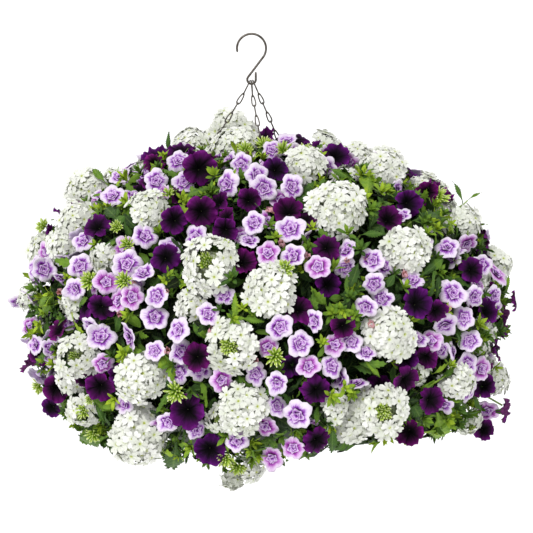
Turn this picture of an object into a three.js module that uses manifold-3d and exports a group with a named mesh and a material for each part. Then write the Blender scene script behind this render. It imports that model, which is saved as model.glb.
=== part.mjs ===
// A petunia hanging basket: a plastic pot of petunias, double calibrachoas and trailing
// verbenas that hangs from a steel S-hook by three chains. Millimetres, +Z up. The origin
// is the inner crest of the hook's upper loop, where the basket hangs.
import * as THREE from "three";
import { mergeVertices } from "three/addons/utils/BufferGeometryUtils.js";
import Module from "manifold-3d";

const wasm = await Module();
wasm.setup();

const Vec = THREE.Vector3;
const DEGREE = Math.PI / 180;
const TURN = 2 * Math.PI;

// ---- The hook and the chains ----
const HOOK_WIRE = 2.7;
const HOOK_TOP_RADIUS = 17;
const HOOK_FOOT_RADIUS = 5;
const HOOK_FOOT_BELOW = 52;
const HOOK_TAIL = 9;
const HOOK_TIP_ANGLE = 195;
const CHAIN_WIRE = 1.6;
const LINK_WIDTH = 6;
const LINK_PITCH = 13.5;
const LINK_WIDEST = 0.36; // of its length, from its foot
const TOP_LINK = { width: 8.6, length: 17 };
const CHAINS = [
  { name: "chain_left", azimuth: 167, seat: 222 },
  { name: "chain_front", azimuth: 287, seat: 270 },
  { name: "chain_right", azimuth: 47, seat: 318 },
];
const CLIP_WIDTH = 10;
const CLIP_LENGTH = 21;

// ---- The pot and its soil ----
const POT = { rimZ: -310, height: 165, rim: 151, neck: 141, foot: 105, wall: 2.5, lip: 3 };
const ROUND = 26; // flat faces round the pot and its soil
const RIM_HOLE = { radius: 2.4, at: 145.5 };
const SOIL_BELOW_RIM = 15;
const SOIL_CROWN = 6;
const GAP = 0.35;
const CROWNS = 9; // plants in the pot, verbena, petunia and calibrachoa in turn
const CROWN_RING = 74;
const CROWN_HOLE = { radius: 11, depth: 24 };
const CROWN_SLOT = 5.8;
const STEM_RADIUS = 2;
const PEDICEL_RADIUS = 1.1;

// ---- The mound of flowers ----
const MOUND = { x: 16, y: 0, z: -310, reachX: 280, reachY: 272, rise: 188, drop: 184 };
const UPPER_POWER = 2;
const LOWER_POWER = 3.3;

// ---- The photograph's view: its marks are pixels in a 533-pixel square ----
const PIXEL = 1.17; // millimetres across at the hook
const PICTURE_MIDDLE = 266.5;
const CREST_MARK = [251.5, 35];
const EYE_DISTANCE = 2500;
const EYE_ELEVATION = 8 * DEGREE;

// Each mark is x, y and radius of a flower or head, then how deep it lies behind its neighbours.
const VERBENA_MARKS = [
  [148, 207, 20], [338, 207, 31], [208, 263, 29], [190, 305, 15, 1], [270, 289, 27],
  [231, 347, 27], [408, 249, 25], [390, 334, 27], [28, 296, 14], [76, 357, 22], [70, 380, 14, 1],
  [139, 380, 26], [138, 437, 31], [82, 412, 17], [244, 411, 25], [382, 411, 27], [459, 381, 18],
  [470, 425, 13], [251, 470, 14], [232, 482, 9], [231, 129, 24], [193, 141, 19], [383, 168, 25],
  [359, 157, 16, 1], [85, 190, 24], [75, 218, 20], [40, 248, 16], [66, 244, 20, 1], [303, 165, 20],
  [467, 222, 18], [498, 262, 16], [103, 258, 14, 1], [350, 421, 23, 1], [499, 380, 15],
];
const PETUNIA_MARKS = [
  [199, 168, 17], [336, 156, 14], [276, 169, 13], [155, 163, 11], [97, 226, 14], [174, 220, 14],
  [202, 212, 16], [225, 230, 13], [249, 200, 12], [288, 211, 15, 1], [408, 203, 14],
  [388, 219, 14, 1], [427, 193, 12], [166, 257, 15], [243, 262, 14], [327, 247, 14],
  [328, 285, 13, 1], [297, 308, 16], [343, 326, 13], [100, 308, 14], [58, 330, 12], [30, 361, 13],
  [57, 388, 14], [51, 408, 11], [100, 387, 15], [197, 357, 15], [187, 411, 18], [210, 450, 16],
  [317, 391, 15], [317, 441, 15], [380, 388, 14, 1], [406, 381, 15], [431, 400, 14],
  [409, 432, 14], [425, 358, 13], [417, 303, 16], [436, 311, 12], [472, 270, 13], [486, 311, 13],
  [502, 326, 12], [516, 300, 10], [497, 350, 11], [484, 386, 12], [484, 430, 11], [506, 411, 12],
];
const CALIBRACHOA_MARKS = [
  [156, 181, 13], [178, 161, 12], [184, 182, 13, 1], [241, 164, 12], [227, 184, 14],
  [257, 176, 13], [264, 188, 14], [292, 187, 13], [281, 200, 12], [272, 150, 11], [254, 223, 12],
  [242, 236, 14], [291, 229, 15], [196, 238, 15, 1], [145, 236, 13], [113, 196, 13], [119, 177, 11],
  [83, 241, 12], [47, 252, 12, 1], [44, 269, 13], [80, 266, 13], [75, 289, 12], [106, 282, 13],
  [127, 264, 15], [143, 273, 12], [132, 297, 13], [101, 337, 15], [129, 337, 15], [18, 302, 11],
  [30, 326, 11], [35, 345, 11], [71, 322, 12, 1], [103, 364, 12], [157, 296, 12], [155, 317, 14],
  [178, 330, 13], [181, 352, 13], [155, 351, 11], [208, 314, 12], [268, 253, 13], [293, 256, 13],
  [318, 267, 13], [346, 250, 12], [372, 260, 13], [374, 284, 12], [366, 307, 12], [280, 327, 14],
  [300, 344, 14], [314, 321, 12], [335, 345, 12], [351, 342, 12], [447, 247, 13], [453, 293, 15],
  [475, 297, 12], [495, 296, 11], [481, 265, 12], [445, 325, 14], [464, 318, 12], [430, 341, 13],
  [470, 341, 12], [467, 364, 12], [481, 369, 13], [487, 411, 14], [168, 422, 12], [197, 430, 12],
  [222, 380, 13], [237, 441, 12], [265, 426, 13], [272, 458, 12], [277, 383, 12], [297, 415, 16],
  [277, 406, 12, 1], [293, 448, 12], [308, 366, 12], [332, 366, 12], [268, 347, 12, 1],
];
// Each leaf mark is the x and y of its base, then of its tip.
const LEAF_MARKS = [
  [348, 302, 368, 330], [347, 302, 331, 312], [349, 300, 308, 294], [347, 298, 347, 274],
  [366, 200, 366, 171], [372, 208, 394, 203], [328, 168, 356, 182], [360, 235, 387, 234],
  [463, 204, 453, 181], [468, 200, 482, 192], [412, 221, 446, 217], [168, 152, 169, 131],
  [105, 182, 92, 168], [215, 188, 180, 199], [205, 186, 232, 200], [236, 322, 235, 292],
  [240, 318, 265, 322], [447, 402, 480, 402], [437, 412, 440, 439], [450, 412, 463, 438],
  [408, 397, 424, 424], [176, 442, 172, 470], [186, 438, 152, 450], [182, 388, 207, 400],
  [222, 466, 236, 482], [95, 402, 106, 424], [108, 436, 78, 438], [333, 426, 332, 454],
  [437, 280, 424, 253], [483, 345, 502, 340], [504, 296, 509, 275], [40, 306, 52, 292],
  [380, 377, 366, 362], [60, 300, 36, 316], [120, 222, 104, 206], [86, 330, 70, 346],
  [214, 340, 196, 326], [300, 282, 284, 266], [420, 276, 438, 262], [160, 372, 150, 396],
];
// How many more of each the sides and back hold, where the photograph doesn't reach.
const REST = { verbena: 24, petunia: 26, calibrachoa: 56, leaf: 26 };
const REST_SIZE = { verbena: 31, petunia: 17, calibrachoa: 15, leaf: 34 };
const SPRAYS = { verbena: 12, petunia: 12, calibrachoa: 18, leaf: 12 };
const NODE_NAMES = {
  verbena: "verbena_heads", petunia: "petunia_blooms", calibrachoa: "calibrachoa_blooms",
  leaf: "leafy_stem",
};
const CROWDING = { verbena: 0.8, petunia: 0.82, calibrachoa: 0.85, leaf: 0.55 };
const LAYOUT_SEED = 11;
const LATTICE = 900;
const FARTHEST = 400; // no place on the mound lies as far from its middle
const UNDERSIDE = -0.5; // how far a flower's place may look down
const EDGE_OF_SIGHT = 0.16;
const CHAIN_CLEARANCE = 22;
const PUSH_STEP = 5; // a crowded flower lies this much deeper, or twice this, and so on
const BEHIND_PUSHES = 3;
const MOST_PUSHES = 10;
const SPRAY_DEPTH = 62;
const FACES = { out: 0.55, viewer: 0.62, leafViewer: 0.5, stray: 0.5 }; // what a flower's face follows

// ---- Stems and stalks ----
const STEM_OVER_RIM = 146;
const OUTSIDE_POT = 176;
const SHOOT = 4; // how far a stem stands straight above the soil's crown
// A long stem arches over the rim, this far above it and above the stem's end, and dips between.
const ARCH = { aboveRim: 12, aboveEnd: 10, dip: 6, lifted: { end: 0.6, before: 0.3 } };
const SHORT_WAY = { bend: 0.4, lifted: 0.5 }; // a stem that stays inside the rim bends once
const STEM_LONG = [0, 0.3, 0.65];
const STEM_JOINT = 5;
const STEM_LIFTS = 13; // a stem that is in another's way is tried this often, each time higher
const STEM_LIFT = 7;
const STEM_SWAYS = [0, 12, -12, 26, -26];
const STEM_GAP = 0.3;
const OWN_GAP = 0.1;
const LEAST_LEAN = 0.15; // how squarely a stalk leaves the face that it springs from
const FACES_TRIED = 8;
const BEND = 9;
const BENDS = 5; // ways to bend it aside, at each of two widths
const SKIN = 1e-3; // how far behind its face a body is tested
const TO_MIDDLE = 0.3; // how far from a face's corners, of the way to its middle
const FREED = 0.5; // a stalk is held clear of its own plant's others from this far above its foot
const OTHER_STEMS = 4; // how many near stems are tried for a flower with no room on its own
const UNDER_HEAD = 12; // a stalk that comes from beside a flower turns up this far below it
const LEAF_WIDTH = 0.4;
const LEAF_ARCH = 0.1;
const LOOKS = {
  steel: { color: "#4b4641", roughness: 0.42, metalness: 0.85 },
  plastic: { color: "#3d4a34", roughness: 0.55, metalness: 0 },
  soil: { color: "#3a2a1e", roughness: 0.95, metalness: 0 },
  verbena: { color: "#f2f4ee", roughness: 0.6, metalness: 0 },
  petunia: { color: "#561460", roughness: 0.7, metalness: 0 },
  calibrachoa: { color: "#c79be0", roughness: 0.6, metalness: 0 },
  leaf: { color: "#5f8a2c", roughness: 0.6, metalness: 0 },
};

// ---- Closed bodies from rings of points ----
// A surface is a list of triangles, each of three points that run anticlockwise from outside.
function surface(triangles) {
  const geometry = new THREE.BufferGeometry();
  const numbers = triangles.flat().flatMap((p) => p.toArray());
  geometry.setAttribute("position", new THREE.Float32BufferAttribute(numbers, 3));
  return geometry;
}

function solid(geometry) {
  const bare = geometry.clone();
  bare.deleteAttribute("normal");
  bare.deleteAttribute("uv");
  const merged = mergeVertices(bare, 1e-5);
  const vertProperties = new Float32Array(merged.attributes.position.array);
  const triVerts = new Uint32Array(merged.index.array);
  const body = new wasm.Manifold(new wasm.Mesh({ numProp: 3, vertProperties, triVerts }));
  if (body.volume() > 0) return body;
  for (let i = 0; i < triVerts.length; i += 3) {
    [triVerts[i], triVerts[i + 1]] = [triVerts[i + 1], triVerts[i]];
  }
  return new wasm.Manifold(new wasm.Mesh({ numProp: 3, vertProperties, triVerts }));
}

// Joins rings of any number of points in order, each running the same way round its axis.
// The rings run anticlockwise seen from the last one. A ring of one point closes an end, and a
// closed body's end ring of more gets a flat fan.
function loft(rings, closed = true) {
  const triangles = [];
  for (let k = 0; k + 1 < rings.length; k++) {
    const [low, high] = [rings[k], rings[k + 1]];
    const [m, n] = [low.length, high.length];
    const [lowSteps, highSteps] = [m > 1 ? m : 0, n > 1 ? n : 0];
    let [i, j] = [0, 0];
    while (i < lowSteps || j < highSteps) {
      if (j >= highSteps || (i < lowSteps && (i + 0.5) / m <= (j + 0.5) / n)) {
        triangles.push([low[i % m], low[(i + 1) % m], high[j % n]]);
        i++;
      } else {
        triangles.push([low[i % m], high[(j + 1) % n], high[j % n]]);
        j++;
      }
    }
  }
  const fan = (points) => points.slice(1, -1).map((p, i) => [points[0], p, points[i + 2]]);
  if (closed) triangles.push(...fan([...rings[0]].reverse()), ...fan(rings.at(-1)));
  return triangles;
}

// Two directions square to an axis and to each other, the first one turned by spin.
function across(axis, spin = 0) {
  const level = Math.abs(axis.z) > 0.9 ? new Vec(1, 0, 0) : new Vec(0, 0, 1);
  const u = level.cross(axis).normalize();
  const v = new Vec().crossVectors(axis, u);
  return [
    u.clone().multiplyScalar(Math.cos(spin)).addScaledVector(v, Math.sin(spin)),
    v.clone().multiplyScalar(Math.cos(spin)).addScaledVector(u, -Math.sin(spin)),
  ];
}

// count points round an axis; reach and lift give each one's radius and height by its number.
function ring(middle, axis, count, reach, lift = () => 0, spin = 0) {
  const [u, v] = across(axis, spin);
  return Array.from({ length: count }, (_, i) => {
    const turn = (i / count) * TURN;
    return middle.clone()
      .addScaledVector(u, reach(i) * Math.cos(turn))
      .addScaledVector(v, reach(i) * Math.sin(turn))
      .addScaledVector(axis, lift(i));
  });
}

// A stem's sections at a list of points, carried along without twisting.
function sections(points, radius, sides = 3) {
  let u = null;
  return points.map((p, i) => {
    const along = points[Math.min(i + 1, points.length - 1)].clone()
      .sub(points[Math.max(i - 1, 0)]).normalize();
    if (!u) [u] = across(along);
    u = u.clone().addScaledVector(along, -u.dot(along)).normalize();
    const v = new Vec().crossVectors(along, u);
    return Array.from({ length: sides }, (_, k) => {
      const turn = (k / sides) * TURN;
      return p.clone()
        .addScaledVector(u, radius * Math.cos(turn))
        .addScaledVector(v, radius * Math.sin(turn));
    });
  });
}

// ---- Hook ----
const HOOK_TOP = new Vec(0, 0, -(HOOK_TOP_RADIUS - HOOK_WIRE / 2));
const HOOK_FOOT = new Vec(0, 0, -HOOK_FOOT_BELOW);

function arcPoints(middle, radius, from, to, steps) {
  return Array.from({ length: steps + 1 }, (_, i) => {
    const angle = (from + ((to - from) * i) / steps) * DEGREE;
    return new Vec(middle.x + radius * Math.cos(angle), 0, middle.z + radius * Math.sin(angle));
  });
}

// An S: round the top, down a straight shank that both arcs run into, round the foot and up.
function hook() {
  const lean = Math.acos((HOOK_TOP_RADIUS + HOOK_FOOT_RADIUS) / (HOOK_TOP.z - HOOK_FOOT.z)) / DEGREE;
  const foot = arcPoints(HOOK_FOOT, HOOK_FOOT_RADIUS, 90 + lean, 360, 9);
  const tail = foot.at(-1).clone().setZ(HOOK_FOOT.z + HOOK_TAIL);
  return loft(sections([
    ...arcPoints(HOOK_TOP, HOOK_TOP_RADIUS, HOOK_TIP_ANGLE, lean - 90, 16), ...foot, tail,
  ], HOOK_WIRE / 2, 6));
}

// ---- Chains ----
// One chain is one body. Its links are square to each other in turn, and where one's foot
// meets the next one's top, the four legs spring from the four faces of a small wedge.
function wedge(joint, up, sideAbove, sideBelow) {
  const [t, b] = [new Vec().crossVectors(up, sideAbove), new Vec().crossVectors(sideBelow, up)];
  const place = (along, lift) => (sign) => joint.clone()
    .addScaledVector(along.clone().normalize(), sign * CHAIN_WIRE * 0.5)
    .addScaledVector(up, lift * CHAIN_WIRE * 0.4);
  return { top: place(t, 1), foot: place(b, -1) };
}

// The wire's section at a corner of a loop: two points inside the bend and one outside it.
function section(corner, inward, level) {
  const half = CHAIN_WIRE / 2;
  return [1, -1].map((sign) => corner.clone()
    .addScaledVector(inward, half * 0.5).addScaledVector(level, sign * half * 0.85))
    .concat([corner.clone().addScaledVector(inward, -half)]);
}

// A loop of wire between two faces of a wedge; corners run as [across, along] from its middle.
function loop(corners, middle, side, up, level, start, end) {
  const points = corners.map(([a, b]) => middle.clone()
    .addScaledVector(side, a).addScaledVector(up, b));
  const ends = [start, end].map((face) => face[0].clone().add(face[1]).add(face[2]).divideScalar(3));
  const rings = points.map((point, i) => {
    const before = (points[i - 1] ?? ends[0]).clone().sub(point).normalize();
    const after = (points[i + 1] ?? ends[1]).clone().sub(point).normalize();
    return section(point, before.add(after).normalize(), level);
  });
  return loft([start, ...rings, end], false);
}

function chain({ azimuth, seat }) {
  const out = new Vec(Math.cos(azimuth * DEGREE), Math.sin(azimuth * DEGREE), 0);
  const lean = new Vec(Math.cos(seat * DEGREE), 0, Math.sin(seat * DEGREE));
  const inHook = HOOK_FOOT_RADIUS - HOOK_WIRE / 2 - CHAIN_WIRE / 2 - GAP;
  const top = HOOK_FOOT.clone().addScaledVector(lean, inHook);
  const hung = new Vec(lean.x * 0.35 + out.x * 0.25, out.y * 0.25, -1).normalize();
  const first = top.clone().addScaledVector(hung, TOP_LINK.length);
  const clipFoot = POT.rimZ - POT.lip - GAP - CHAIN_WIRE / 2;
  const last = out.clone().multiplyScalar(RIM_HOLE.at + CLIP_WIDTH / 2)
    .setZ(clipFoot + CLIP_LENGTH);
  const count = 2 * Math.round(first.distanceTo(last) / LINK_PITCH / 2);
  const joints = Array.from({ length: count + 1 }, (_, i) => first.clone().lerp(last, i / count));
  const up = first.clone().sub(last).normalize();
  const square = (v) => v.clone().addScaledVector(up, -v.dot(up)).normalize();
  const sides = [square(new Vec(0, 1, 0))];
  for (let i = 0; i < count; i++) sides.push(new Vec().crossVectors(up, sides.at(-1)).normalize());
  const turned = new Vec().crossVectors(up, sides.at(-1));
  sides.push(out.clone().multiplyScalar(Math.sign(turned.dot(out))));
  const wedges = joints.map((joint, i) => wedge(joint, up, sides[i], sides[i + 1]));
  const half = (LINK_WIDTH - CHAIN_WIRE) / 2;
  const parts = sides.slice(1, -1).flatMap((side, i) => [1, -1].map((g) => {
    const [above, below] = [wedges[i], wedges[i + 1]];
    const level = new Vec().crossVectors(up, side).multiplyScalar(g);
    const middle = joints[i + 1].clone().lerp(joints[i], LINK_WIDEST)
      .addScaledVector(side, g * half);
    return loft([[below.top(g), below.top(-g), below.foot(g)],
      section(middle, side.clone().multiplyScalar(-g), level),
      [above.foot(-g), above.foot(g), above.top(g)]], false);
  }));
  const width = (TOP_LINK.width - CHAIN_WIRE) / 2;
  const level = new Vec().crossVectors(up, sides[0]);
  parts.push(loop([[width, TOP_LINK.length * 0.7], [width * 0.8, TOP_LINK.length],
    [-width * 0.8, TOP_LINK.length], [-width, TOP_LINK.length * 0.7]],
  first, sides[0], hung.clone().negate(), level,
  [wedges[0].top(1), wedges[0].top(-1), wedges[0].foot(1)],
  [wedges[0].top(1), wedges[0].top(-1), wedges[0].foot(-1)]));
  const [clip, end] = [CLIP_WIDTH / 2, wedges[count]];
  const clipLevel = new Vec().crossVectors(sides.at(-1), new Vec(0, 0, 1));
  parts.push(loop([[clip, -CLIP_LENGTH * 0.35], [clip, -CLIP_LENGTH * 0.93],
    [clip * 0.7, -CLIP_LENGTH], [-clip * 0.7, -CLIP_LENGTH], [-clip, -CLIP_LENGTH * 0.93],
    [-clip, -CLIP_LENGTH * 0.35]],
  last, sides.at(-1), new Vec(0, 0, 1), clipLevel,
  [end.foot(1), end.foot(-1), end.top(1)], [end.foot(1), end.foot(-1), end.top(-1)]));
  return solid(surface(parts.flat()));
}

// ---- Pot and soil ----
function lathe(profile, sides) {
  return new THREE.LatheGeometry(profile.map(([r, z]) => new THREE.Vector2(r, z)), sides)
    .rotateX(Math.PI / 2);
}

function upright(x, y, radius, from, to, sides) {
  const low = ring(new Vec(x, y, from), new Vec(0, 0, 1), sides, () => radius);
  const high = ring(new Vec(x, y, to), new Vec(0, 0, 1), sides, () => radius);
  return solid(surface(loft([low, high])));
}

const POT_FLOOR = POT.rimZ - POT.height;
const POT_INSIDE = POT_FLOOR + 6.5; // above a foot ring 4 mm deep and a floor of the wall's thickness

function pot() {
  const { rimZ, rim, neck, foot, wall, lip } = POT;
  const profile = [
    [0, POT_FLOOR + 4], [foot - 12, POT_FLOOR + 4], [foot - 10, POT_FLOOR], [foot, POT_FLOOR],
    [neck, rimZ - lip], [rim, rimZ - lip], [rim, rimZ], [neck - wall, rimZ],
    [foot - wall, POT_INSIDE], [0, POT_INSIDE],
  ];
  return CHAINS.reduce((body, { azimuth }) => {
    const angle = azimuth * DEGREE;
    const [x, y] = [RIM_HOLE.at * Math.cos(angle), RIM_HOLE.at * Math.sin(angle)];
    return body.subtract(upright(x, y, RIM_HOLE.radius, rimZ - 40, rimZ + 5, 6));
  }, solid(lathe(profile, ROUND)));
}

const SOIL_Z = POT.rimZ - SOIL_BELOW_RIM;
const PLANTS = Array.from({ length: CROWNS }, (_, i) => {
  const turn = ((i + 0.5) / CROWNS) * TURN;
  return {
    kind: ["verbena", "petunia", "calibrachoa"][i % 3],
    x: CROWN_RING * Math.cos(turn), y: CROWN_RING * Math.sin(turn), free: [0, 1, 2, 3, 4, 5, 6],
  };
});

function soil() {
  const rise = (POT.neck - POT.foot) / (POT.rimZ - POT_INSIDE);
  const inner = (z) => POT.foot - POT.wall + rise * (z - POT_INSIDE) - GAP * 1.5;
  const profile = [
    [0, POT_INSIDE + GAP], [inner(POT_INSIDE + 1.5), POT_INSIDE + GAP],
    [inner(SOIL_Z), SOIL_Z], [CROWN_RING - 20, SOIL_Z + SOIL_CROWN], [0, SOIL_Z + SOIL_CROWN],
  ];
  return PLANTS.reduce((body, { x, y }) => body.subtract(
    upright(x, y, CROWN_HOLE.radius, SOIL_Z - CROWN_HOLE.depth, SOIL_Z + 30, 8),
  ), solid(lathe(profile, ROUND)));
}

// ---- Where flowers and leaves lie ----
const RIGHT = new Vec(1, 0, 0);
const FORWARD = new Vec(0, Math.cos(EYE_ELEVATION), -Math.sin(EYE_ELEVATION));
const UPWARD = new Vec(0, Math.sin(EYE_ELEVATION), Math.cos(EYE_ELEVATION));
const EYE = RIGHT.clone().multiplyScalar((PICTURE_MIDDLE - CREST_MARK[0]) * PIXEL)
  .addScaledVector(UPWARD, (CREST_MARK[1] - PICTURE_MIDDLE) * PIXEL)
  .addScaledVector(FORWARD, -EYE_DISTANCE);

// A repeatable stream of numbers from 0 to 1.
function draws(seed) {
  let state = seed;
  return () => {
    state = (state + 0x6d2b79f5) >>> 0;
    let t = Math.imul(state ^ (state >>> 15), state | 1);
    t = (t + Math.imul(t ^ (t >>> 7), t | 61)) ^ t;
    return ((t ^ (t >>> 14)) >>> 0) / 4294967296;
  };
}

// 1 on the mound's surface, less inside it.
function moundLevel(p) {
  const level = Math.hypot((p.x - MOUND.x) / MOUND.reachX, (p.y - MOUND.y) / MOUND.reachY);
  const above = p.z > MOUND.z;
  const power = above ? UPPER_POWER : LOWER_POWER;
  return level ** power + (Math.abs(p.z - MOUND.z) / (above ? MOUND.rise : MOUND.drop)) ** power;
}

function moundNormal(p) {
  const slope = (axis) => moundLevel(p.clone().addScaledVector(axis, 0.5))
    - moundLevel(p.clone().addScaledVector(axis, -0.5));
  return new Vec(slope(RIGHT), slope(new Vec(0, 1, 0)), slope(new Vec(0, 0, 1))).normalize();
}

// The first step along a line at which it is inside the mound, or else where it comes nearest.
function reachMound(at, from, to, step) {
  let best = from;
  for (let t = from; t < to; t += step) {
    if (moundLevel(at(t)) < 1) {
      let [out, inside] = [t - step, t];
      for (let i = 0; i < 30; i++) {
        const middle = (out + inside) / 2;
        if (moundLevel(at(middle)) < 1) inside = middle;
        else out = middle;
      }
      return inside;
    }
    if (moundLevel(at(t)) < moundLevel(at(best))) best = t;
  }
  return best;
}

function sightLine(x, y) {
  return FORWARD.clone().addScaledVector(RIGHT, ((x - PICTURE_MIDDLE) * PIXEL) / EYE_DISTANCE)
    .addScaledVector(UPWARD, ((PICTURE_MIDDLE - y) * PIXEL) / EYE_DISTANCE);
}

// The mound's point behind a mark, and how many millimetres a pixel is there.
function marked(x, y) {
  const sight = sightLine(x, y);
  const at = (t) => EYE.clone().addScaledVector(sight, t);
  const depth = reachMound(at, EYE_DISTANCE - 340, EYE_DISTANCE + 380, 4);
  return { point: at(depth), sight, scale: (PIXEL * depth) / EYE_DISTANCE };
}

// A flower's face looks out of the mound, towards the light that its viewer stands in.
function facing(point, towardsEye, draw) {
  const away = moundNormal(point).multiplyScalar(FACES.out)
    .addScaledVector(EYE.clone().sub(point).normalize(), towardsEye);
  const [x, y, z] = [draw() - 0.5, draw() - 0.5, draw() - 0.5];
  return away.add(new Vec(x, y, z).multiplyScalar(FACES.stray)).normalize();
}

function markedFlowers(kind, marks, draw) {
  return marks.map(([x, y, r, behind = 0]) => {
    const { point, sight, scale } = marked(x, y);
    return { kind, point, face: facing(point, FACES.viewer, draw), radius: r * scale,
      back: sight.clone().multiplyScalar(PUSH_STEP), pushed: behind * BEHIND_PUSHES };
  });
}

function markedLeaves(draw) {
  return LEAF_MARKS.map(([x0, y0, x1, y1]) => {
    const base = marked(x0, y0);
    const tip = marked(x1, y1);
    const along = tip.point.clone().sub(base.point);
    const face = facing(base.point, FACES.leafViewer, draw);
    return { kind: "leaf", point: base.point, face, along, radius: along.length() / 2,
      back: base.sight.clone().multiplyScalar(PUSH_STEP), pushed: 1 };
  });
}

// The sides and back, which the photograph doesn't reach: an even lattice over the mound, whose
// places are drawn for one kind after another and kept where they are clear of those before.
function unmarked(flowers, draw) {
  const middle = new Vec(MOUND.x, MOUND.y, MOUND.z);
  const golden = Math.PI * (3 - Math.sqrt(5));
  const places = Array.from({ length: LATTICE }, (_, i) => {
    const height = 1 - (2 * (i + 0.5)) / LATTICE;
    const level = Math.sqrt(1 - height * height);
    const way = new Vec(level * Math.cos(i * golden), level * Math.sin(i * golden), height);
    const at = (t) => middle.clone().addScaledVector(way, FARTHEST - t);
    const point = at(reachMound(at, 0, FARTHEST, 4));
    return { point, normal: moundNormal(point), order: draw() };
  }).filter(({ point, normal }) => normal.z > UNDERSIDE
    && normal.dot(EYE.clone().sub(point).normalize()) < EDGE_OF_SIGHT
    && Math.hypot(point.x, point.y) > CHAIN_CLEARANCE);
  places.sort((a, b) => a.order - b.order);
  const kept = [...flowers];
  for (const kind of ["verbena", "petunia", "calibrachoa", "leaf"]) {
    let wanted = REST[kind];
    for (const { point, normal } of places) {
      const radius = REST_SIZE[kind] * (0.85 + 0.25 * draw());
      const near = (other) => other.point.distanceTo(point)
        < CROWDING[kind] * (radius + other.radius);
      if (wanted === 0 || kept.some(near)) continue;
      const face = facing(point, 0, draw);
      const turn = draw() * TURN;
      const [u, v] = across(normal);
      const along = u.multiplyScalar(Math.cos(turn)).addScaledVector(v, Math.sin(turn));
      const leaf = kind === "leaf";
      kept.push({ kind, point: point.clone().addScaledVector(along, leaf ? -radius : 0),
        face, radius, along: along.multiplyScalar(2 * radius),
        back: normal.clone().multiplyScalar(-PUSH_STEP), pushed: leaf ? 1 : 0 });
      wanted--;
    }
  }
  return kept;
}

function layOut() {
  const draw = draws(LAYOUT_SEED);
  return unmarked([
    ...markedFlowers("verbena", VERBENA_MARKS, draw),
    ...markedFlowers("petunia", PETUNIA_MARKS, draw),
    ...markedFlowers("calibrachoa", CALIBRACHOA_MARKS, draw),
    ...markedLeaves(draw),
  ], draw);
}

// ---- Flowers and leaves, each with the stalk that it grows on ----
// A stalk's section of three points round a middle, turned to follow a direction across it.
function triple(middle, axis, guide, radius) {
  const u = guide.clone().addScaledVector(axis, -guide.dot(axis)).normalize();
  const v = new Vec().crossVectors(axis, u);
  return [0, 1, 2].map((k) => middle.clone()
    .addScaledVector(u, radius * Math.cos((k / 3) * TURN))
    .addScaledVector(v, radius * Math.sin((k / 3) * TURN)));
}

const middleOf = (face) => face[0].clone().add(face[1]).add(face[2]).divideScalar(3);

// The sections of a stalk from its foot, a face of the stem, by any bend to a flower's neck.
function stalk(foot, bends, neck, axis, guide, width) {
  const stops = [middleOf(foot), ...bends, neck];
  const rings = stops.slice(1).map((stop, i) => {
    const before = stops[i];
    const after = stops[i + 2];
    const along = (after ?? stop).clone().sub(before).normalize();
    return after ? triple(stop, along, guide, PEDICEL_RADIUS)
      : triple(stop, along.add(axis).normalize(), guide, width);
  });
  const reach = (turned) => turned.reduce((sum, p, i) => sum + p.distanceTo(rings[0][i]), 0);
  const turns = [0, 1, 2].map((k) => [...foot.slice(k), ...foot.slice(0, k)]);
  return [turns.reduce((a, b) => (reach(b) < reach(a) ? b : a)), ...rings];
}

// Each head's rings from its rim to its middle, and where its neck is below them.
const HEADS = {
  verbena: {
    neck: 0.62, width: 2.1,
    rings: (c, n, r) => [
      ring(c, n, 12, (i) => (i % 2 ? 1 : 0.84) * r, (i) => (i % 2 ? -0.28 : 0.04) * r),
      ring(c, n, 6, () => 0.52 * r, (i) => (i % 2 ? 0.16 : 0.36) * r),
      [c.clone().addScaledVector(n, 0.4 * r)],
    ],
  },
  petunia: {
    neck: 0.8, width: 2.4,
    rings: (c, n, r) => [
      ring(c, n, 10, (i) => (i % 2 ? 0.84 : 1) * r, (i) => (i % 2 ? 0.1 : -0.08) * r),
      [c.clone().addScaledVector(n, -0.42 * r)],
    ],
  },
  calibrachoa: {
    neck: 0.6, width: 2,
    rings: (c, n, r) => [
      ring(c, n, 10, (i) => (i % 2 ? 0.8 : 1) * r, (i) => (i % 2 ? -0.06 : 0.04) * r),
      ring(c, n, 5, () => 0.42 * r, () => 0.26 * r),
      [c.clone()],
    ],
  },
};
const LEAF_NECK = { at: 0.3, below: 1.7 }; // of its length, and in millimetres
const LEAF_SIDE = [[0.1, 0.24], [0.3, 0.5], [0.4, 0.34], [0.64, 0.4], [0.74, 0.2]];

function leafRings({ face, along }, base) {
  const length = along.length();
  const a = along.clone().normalize();
  const b = new Vec().crossVectors(face, a).normalize();
  const up = new Vec().crossVectors(a, b);
  const spot = (t, w, lift = 0) => base.clone().addScaledVector(a, t * length)
    .addScaledVector(b, w * length * LEAF_WIDTH)
    .addScaledVector(up, length * LEAF_ARCH * (t - t * t) * 4 + lift);
  const outline = [spot(1, 0), ...[...LEAF_SIDE].reverse().map(([t, w]) => spot(t, w, w * 2)),
    spot(0, 0), ...LEAF_SIDE.map(([t, w]) => spot(t, -w, w * 2))];
  return { rings: [outline, [spot(0.45, 0, 0.2)]], neck: spot(LEAF_NECK.at, 0, -LEAF_NECK.below), up };
}

// The rings of a flower that is pushed back by some steps and grows from a face of its stem.
function grown(one, pushes, foot, bends) {
  const point = one.point.clone().addScaledVector(one.back, pushes);
  if (one.kind === "leaf") {
    const { rings, neck, up } = leafRings(one, point);
    return [...stalk(foot, bends, neck, up, one.along, 1.2), ...rings];
  }
  const { rings, neck, width } = HEADS[one.kind];
  const below = point.clone().addScaledVector(one.face, -neck * one.radius);
  return [...stalk(foot, bends, below, one.face, across(one.face)[0], width),
    ...rings(point, one.face, one.radius)];
}

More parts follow.
